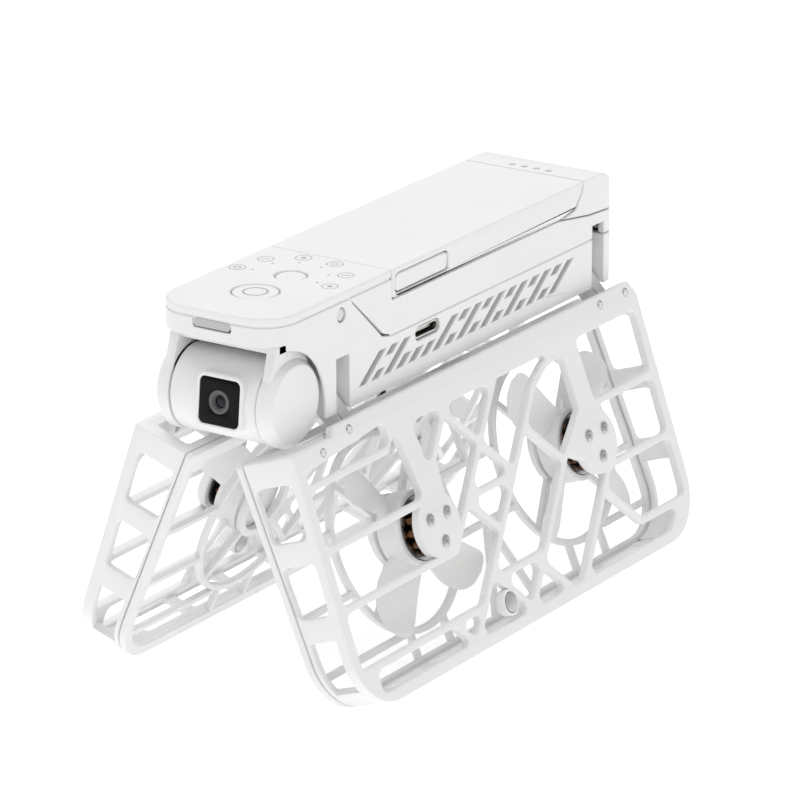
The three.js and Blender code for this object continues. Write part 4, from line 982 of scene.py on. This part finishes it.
class DRONE_OT_cages(bpy.types.Operator):
    """Both propeller cages, their arms, screws and magnets"""

    bl_idname = "drone.cages"
    bl_label = "Cages"

    def execute(self, context):
        edge = context.scene.drone_sizes.edge_cage
        kit = finishes()
        for side, sign in SIDES:
            self.frame(side, sign, edge, kit)
            self.cover(side, sign, edge, kit)
            self.magnet(side, sign, kit)
            for end in ENDS:
                moulded(f"hinge_arm_{side}_{end}", kit["cage"], 0.25)
            self.screws(side, sign, kit)
        return {"FINISHED"}

    def frame(self, side, sign, edge, kit):
        """The outer lattice with its motor mounts, its hinge band, its ends and its top strip."""
        windows = [filleted(opening(lines), 1.5) for lines in lattice_windows()]
        skin_place = face_place(sign, SKIN / 2)
        pieces = [plate_mesh("lattice", [face_outline(), *windows], SKIN, edge, skin_place, 3)]
        for y in MOTOR_Y.values():
            pieces.append(plate_mesh("mount", [circle_line(y, MOTOR_U, 7.0, 72)], SKIN + 0.1, 0.35, skin_place, 3))
            flange = [(y, MOTOR_U + 6.6), (y - 5.7, MOTOR_U - 3.3), (y + 5.7, MOTOR_U - 3.3)]
            pieces.append(plate_mesh("flange", [filleted(flange, 2.6, 10)], 0.6, 0.25, face_place(sign, 0.15), 3))
        pad = [circle_line(*MAGNET, radius, 40) for radius in (2.75, 2.15)]
        pieces.append(plate_mesh("magnet_pad", pad, SKIN, 0.2, face_place(sign, SKIN / 2 - 0.15), 2))
        front, rear = CAGE_FRONT, CAGE_REAR
        band = filleted([(front + 13, 1.2), (front + 15, -1.8), (rear - 2, -1.8), (rear - 0.4, 1.2)], 0.6)
        pieces.append(plate_mesh("hinge_band", [band], SKIN - 0.04, edge, skin_place, 3))
        pieces += end_bands(sign)
        inner = DEPTH - COVER - 0.3
        strip = filleted([(front + 0.5, 0.2), (rear - 0.5, 0.2), (rear - 0.5, inner), (front + 0.5, inner)],
                         0.5)
        slots = [filleted([(a, 3.0), (b, 3.0), (b, inner - 1.8), (a, inner - 1.8)], 0.9)
                 for a, b in ((-60, -52), (-33, -21), (-17, -5), (-1, 11), (15, 27), (31, 45))]

        def top_place(p):
            return cage_place(np.column_stack([OUTER - p[:, 1], p[:, 0], TOP - 0.98 + p[:, 2]]), sign)

        pieces.append(plate_mesh("top_strip", [strip, *slots], 1.8, 0.25, top_place, 2))
        joined(f"cage_frame_{side}_finished", pieces, kit["cage"], f"cage_{side}", (f"cage_frame_{side}",), 40)

    def cover(self, side, sign, edge, kit):
        """Rings around the propellers, a rim and cross bars, leaning with the taper."""
        def leaning(p):
            x = OUTER - DEPTH + TAPER * p[:, 1] + COVER / 2 + p[:, 2]
            return cage_place(np.column_stack([x, p[:, 0], TOP - p[:, 1]]), sign)

        set_in = 2.6
        rim_front, rim_rear, rim_foot = CAGE_FRONT + set_in, CAGE_REAR - set_in, REACH - 2.4
        rim = filleted([(rim_front, 3.4), (rim_front, rim_foot), (rim_rear, rim_foot), (rim_rear, 3.4)],
                       [2, CORNER - set_in, CORNER - set_in, 2], 12)
        pieces = [plate_mesh("rim", [face_outline(), rim], COVER, edge, leaning, 2)]
        bars = []
        for y in MOTOR_Y.values():
            for name, outer, hole, steps in (("ring", 20.9, 19.5, 96), ("eye", 7.9, 6.2, 48)):
                outlines = [circle_line(y, MOTOR_U, radius, steps) for radius in (outer, hole)]
                pieces.append(plate_mesh(name, outlines, COVER - 0.06, 0.25, leaning, 2))
            for angle in (45, 135, 225, 315):
                c, s = math.cos(math.radians(angle)), math.sin(math.radians(angle))
                bars.append((y + 7 * c, MOTOR_U + 7 * s, y + 20.2 * c, MOTOR_U + 20.2 * s))
            for near, far in ((y - 6, y + 6), (y + 6, y - 6)):
                bars += [(near, MOTOR_U - 19.6, near, 2), (far, MOTOR_U + 19.6, far, REACH - 1)]
        front, rear = MOTOR_Y["front"], MOTOR_Y["rear"]
        for u in (20.2, 33):
            bars += [(CAGE_FRONT + 1, u, front - 19.4, u), (rear + 19.4, u, CAGE_REAR - 1, u),
                     (front + 19.4, u, rear - 19.4, u)]
        bars += [(CAGE_FRONT + 3, 45.4, front - 8, 45.4), (rear + 8, 45.4, CAGE_REAR - 3, 45.4)]
        middle = (front + rear) / 2
        bars += [(middle, 2, middle, 20.2), (middle, 33, middle - 8, REACH - 1),
                 (middle, 33, middle + 8, REACH - 1)]
        for number, bar in enumerate(bars):  # each a little thinner than the last, so no two faces coincide
            depth = COVER - 0.1 - 0.002 * number
            pieces.append(plate_mesh("bar", [bar_line(*bar, RIB)], depth, 0.25, leaning, 2))
        joined(f"cage_cover_{side}_finished", pieces, kit["cage"], f"cage_{side}", (f"cage_cover_{side}",), 40)

    def magnet(self, side, sign, kit):
        """Catch disc standing a quarter of a millimetre out of its pad."""
        profile = soft_profile([(1.9, 0), (1.9, 2.05), (-0.25, 2.05), (-0.25, 0)], 0.15, 3)
        disc = turned_mesh("catch_disc", profile, spot_place(sign, *MAGNET), 48)
        joined(f"catch_disc_{side}", [disc], kit["screw"], f"cage_{side}", (f"latch_magnet_{side}",), 30)

    def screws(self, side, sign, kit):
        """Cross-headed screws of the arms and of the motors, set in the outer face."""
        places = [(y, u, 1.35, 0.1) for y, u in ((-53.8, 2.1), (-43.8, 0.2), (50.7, 0.3), (60.9, 0.3))]
        for y in MOTOR_Y.values():
            places += [(y + 3.5 * math.cos(a), MOTOR_U + 3.5 * math.sin(a), 1.3, -0.32)
                       for a in np.radians((90, 210, 330))]
        meshes = [screw_head(y, u, radius, w, sign) for y, u, radius, w in places]
        nodes = [f"arm_screw_{side}_{end}_{number}" for end in ENDS for number in (1, 2)]
        joined(f"screws_{side}", meshes, kit["screw"], f"cage_{side}", nodes, 30)


def screw_head(y, u, radius, w, sign, rings=15, sides=48):
    """A domed head on the outer face: height 0.22 (1 - r^2) less a cross 0.35 deep whose arms are
    0.2 of the head wide and reach 0.62 of it, then a short skirt."""
    r = np.linspace(0.02, 1, rings)[:, None]
    t = np.linspace(0, 2 * math.pi, sides, endpoint=False)[None, :]
    a, b = np.abs(r * np.cos(t + 0.4)), np.abs(r * np.sin(t + 0.4))
    narrow, reach = np.minimum(a, b), np.maximum(a, b)
    cross = np.clip((0.2 - narrow) / 0.08, 0, 1) * np.clip((0.62 - reach) / 0.08, 0, 1)
    rise = 0.22 * (1 - r ** 2) + 0 * t - 0.35 * cross
    ys, us = y + radius * r * np.cos(t), u + radius * r * np.sin(t)
    top = np.stack([OUTER - w + rise, ys, TOP - us], -1)
    skirt = np.stack([OUTER - w - 0.6 + 0 * ys[-1:], ys[-1:], TOP - us[-1:]], -1)
    points = np.concatenate([top, skirt])
    middle = np.array([[OUTER - w - 0.13, y, TOP - u], [OUTER - w - 0.6, y, TOP - u]])
    faces = grid_faces(rings + 1, sides, wrap=True).tolist()
    count, last = (rings + 1) * sides, rings * sides
    faces += [(count, (k + 1) % sides, k) for k in range(sides)]
    faces += [(count + 1, last + k, last + (k + 1) % sides) for k in range(sides)]
    return list_mesh("screw", cage_place(np.concatenate([points.reshape(-1, 3), middle]), sign), faces)


# ---------------------------------------------------------------- motors and propellers

DRUM_RADIUS, DRUM_MIDDLE = 7.3, 7.2  # where the blades start, and their depth in from the outer face


def blade_surface(turn, length, chord, spin, stations=22, around=20):
    """One blade: sections of half-width chord/2 and thickness that thins outwards, each an ellipse
    with a rounded nose, pitched from 34 to 14 degrees, widest at about two thirds of the length,
    closing bluntly at the tip and swept back a little."""
    r = DRUM_RADIUS + (length - DRUM_RADIUS) * np.linspace(0, 1, stations) ** 0.85
    f = (r - DRUM_RADIUS) / (length - DRUM_RADIUS)
    width = chord * (0.6 + 0.4 * np.sin(np.pi * (0.62 * f + 0.1)))
    width = width * np.sqrt(np.clip(1 - f ** 10, 0.0004, 1))
    thick = (1.15 - 0.5 * f) * np.sqrt(np.clip(1 - f ** 8, 0.01, 1))
    pitch = np.radians(20 * f - 34)
    sweep = 0.9 * np.sin(np.pi * f) - 1.2 * f ** 3
    t = np.linspace(0, 2 * math.pi, around, endpoint=False)
    along = width[:, None] / 2 * np.cos(t) + sweep[:, None]
    camber = 0.35 * np.cos(t)[None, :] ** 2 * (1 - f[:, None])
    across = thick[:, None] / 2 * np.sin(t) * (1 + 0.25 * np.cos(t)) + camber
    c, s = np.cos(pitch)[:, None], np.sin(pitch)[:, None]
    depth = DRUM_MIDDLE - (across * c + along * s)
    y = along * c - across * s
    z = np.repeat(r[:, None], around, 1)
    a = math.radians(turn)
    yy, zz = (y * math.cos(a) - z * math.sin(a)) * spin, y * math.sin(a) + z * math.cos(a)
    points = np.stack([depth, yy, zz], -1).reshape(-1, 3)
    faces = grid_faces(stations, around, wrap=True).tolist()
    faces.append(tuple(range(around)))
    faces.append(tuple((stations - 1) * around + k for k in range(around)))
    return points, faces


class DRONE_OT_rotors(bpy.types.Operator):
    """Motors and four-bladed propellers"""

    bl_idname = "drone.rotors"
    bl_label = "Motors and propellers"

    def execute(self, context):
        kit = finishes()
        sizes = context.scene.drone_sizes
        for side, sign in SIDES:
            for end in ENDS:
                place = spot_place(sign, MOTOR_Y[end], MOTOR_U)
                tag = f"{side}_{end}"
                self.propeller(tag, place, 1 if end == "front" else -1, sizes, kit)
                self.motor(tag, place, side, kit)
        return {"FINISHED"}

    def propeller(self, tag, place, spin, sizes, kit):
        """A drum that closes behind the motor, with four blades."""
        profile = soft_profile([(4.9, 6.75), (4.9, 7.9), (10.4, 7.9), (10.4, 1.1), (7.25, 1.1), (7.25, 6.75),
                                (4.9, 6.75)], 0.8, 5)
        meshes = [turned_mesh("drum", profile, place, 72)]
        for number in range(4):
            points, faces = blade_surface(48 + 90 * number, sizes.blade_length, sizes.blade_chord, spin)
            meshes.append(list_mesh("blade", place(points), faces))
        joined(f"propeller_{tag}_finished", meshes, kit["blade"], f"rotor_{tag}", (f"propeller_{tag}",), 45)

    def motor(self, tag, place, side, kit):
        """A dark core with twelve wound poles, inside a bell with a bright rim."""
        core = turned_mesh("core", [(2.3, 0), (2.3, 5.9), (2.7, 5.9), (2.7, 3.0), (5.6, 3.0), (5.6, 0.75),
                                    (9.7, 0.75), (9.7, 0)], place, 48)
        joined(f"stator_{tag}_core", [core], kit["dark"], f"cage_{side}", (f"motor_stator_{tag}",), 35)
        coils = []
        for number in range(12):
            a = 2 * math.pi * number / 12
            v = np.linspace(0, 2 * math.pi, 10, endpoint=False)
            h = np.linspace(0, math.pi, 8)
            waist = np.sin(h)[:, None]
            coil = np.stack([1.25 * np.cos(h)[:, None] + 0 * v, 0.95 * waist * np.cos(v), 1.3 * waist * np.sin(v)],
                            -1).reshape(-1, 3)
            y, z = coil[:, 1], coil[:, 2] + 4.5
            points = np.column_stack([coil[:, 0] + 4.1, y * math.cos(a) - z * math.sin(a),
                                      y * math.sin(a) + z * math.cos(a)])
            coils.append(array_mesh("coil", place(points), grid_faces(8, 10, wrap=True)))
        joined(f"stator_{tag}_coils", coils, kit["copper"], f"cage_{side}", (f"motor_stator_{tag}",), 60)
        bell = turned_mesh("bell", [(5.0, 5.7), (5.0, 6.35), (6.1, 6.35), (6.8, 5.8), (6.8, 1.15), (6.2, 1.15),
                                    (6.2, 5.7), (5.0, 5.7)], place, 72)
        rim = turned_mesh("rim", [(4.7, 5.75), (4.7, 6.6), (4.98, 6.6), (4.98, 5.75), (4.7, 5.75)], place, 72)
        joined(f"bell_{tag}_rim", [rim], kit["rim"], f"rotor_{tag}", (f"motor_bell_{tag}",), 30)
        joined(f"bell_{tag}_can", [bell], kit["bell"], f"rotor_{tag}", (f"motor_bell_{tag}",), 30)


# ---------------------------------------------------------------- add-on

class DRONE_PT_panel(bpy.types.Panel):
    """Sizes, colours and one button for each group of pieces"""

    bl_idname = "DRONE_PT_panel"
    bl_label = "Palm drone"
    bl_space_type = "VIEW_3D"
    bl_region_type = "UI"
    bl_category = "Palm drone"

    def draw(self, context):
        for group in (context.scene.drone_sizes, context.scene.drone_colours):
            for name in group.__annotations__:
                self.layout.prop(group, name)
        for operator in OPERATORS:
            self.layout.operator(operator.bl_idname)


OPERATORS = (DRONE_OT_stage, DRONE_OT_body, DRONE_OT_camera_head, DRONE_OT_cages, DRONE_OT_rotors)
CLASSES = (DroneSizes, DroneColours, *OPERATORS, DRONE_PT_panel)


def register():
    for cls in CLASSES:
        bpy.utils.register_class(cls)
    bpy.types.Scene.drone_sizes = PointerProperty(type=DroneSizes)
    bpy.types.Scene.drone_colours = PointerProperty(type=DroneColours)


def unregister():
    del bpy.types.Scene.drone_colours
    del bpy.types.Scene.drone_sizes
    for cls in reversed(CLASSES):
        bpy.utils.unregister_class(cls)


def main():
    register()
    for operator in OPERATORS:
        group, name = operator.bl_idname.split(".")
        getattr(getattr(bpy.ops, group), name)()
    bpy.context.view_layer.update()


if __name__ == "__main__":
    main()
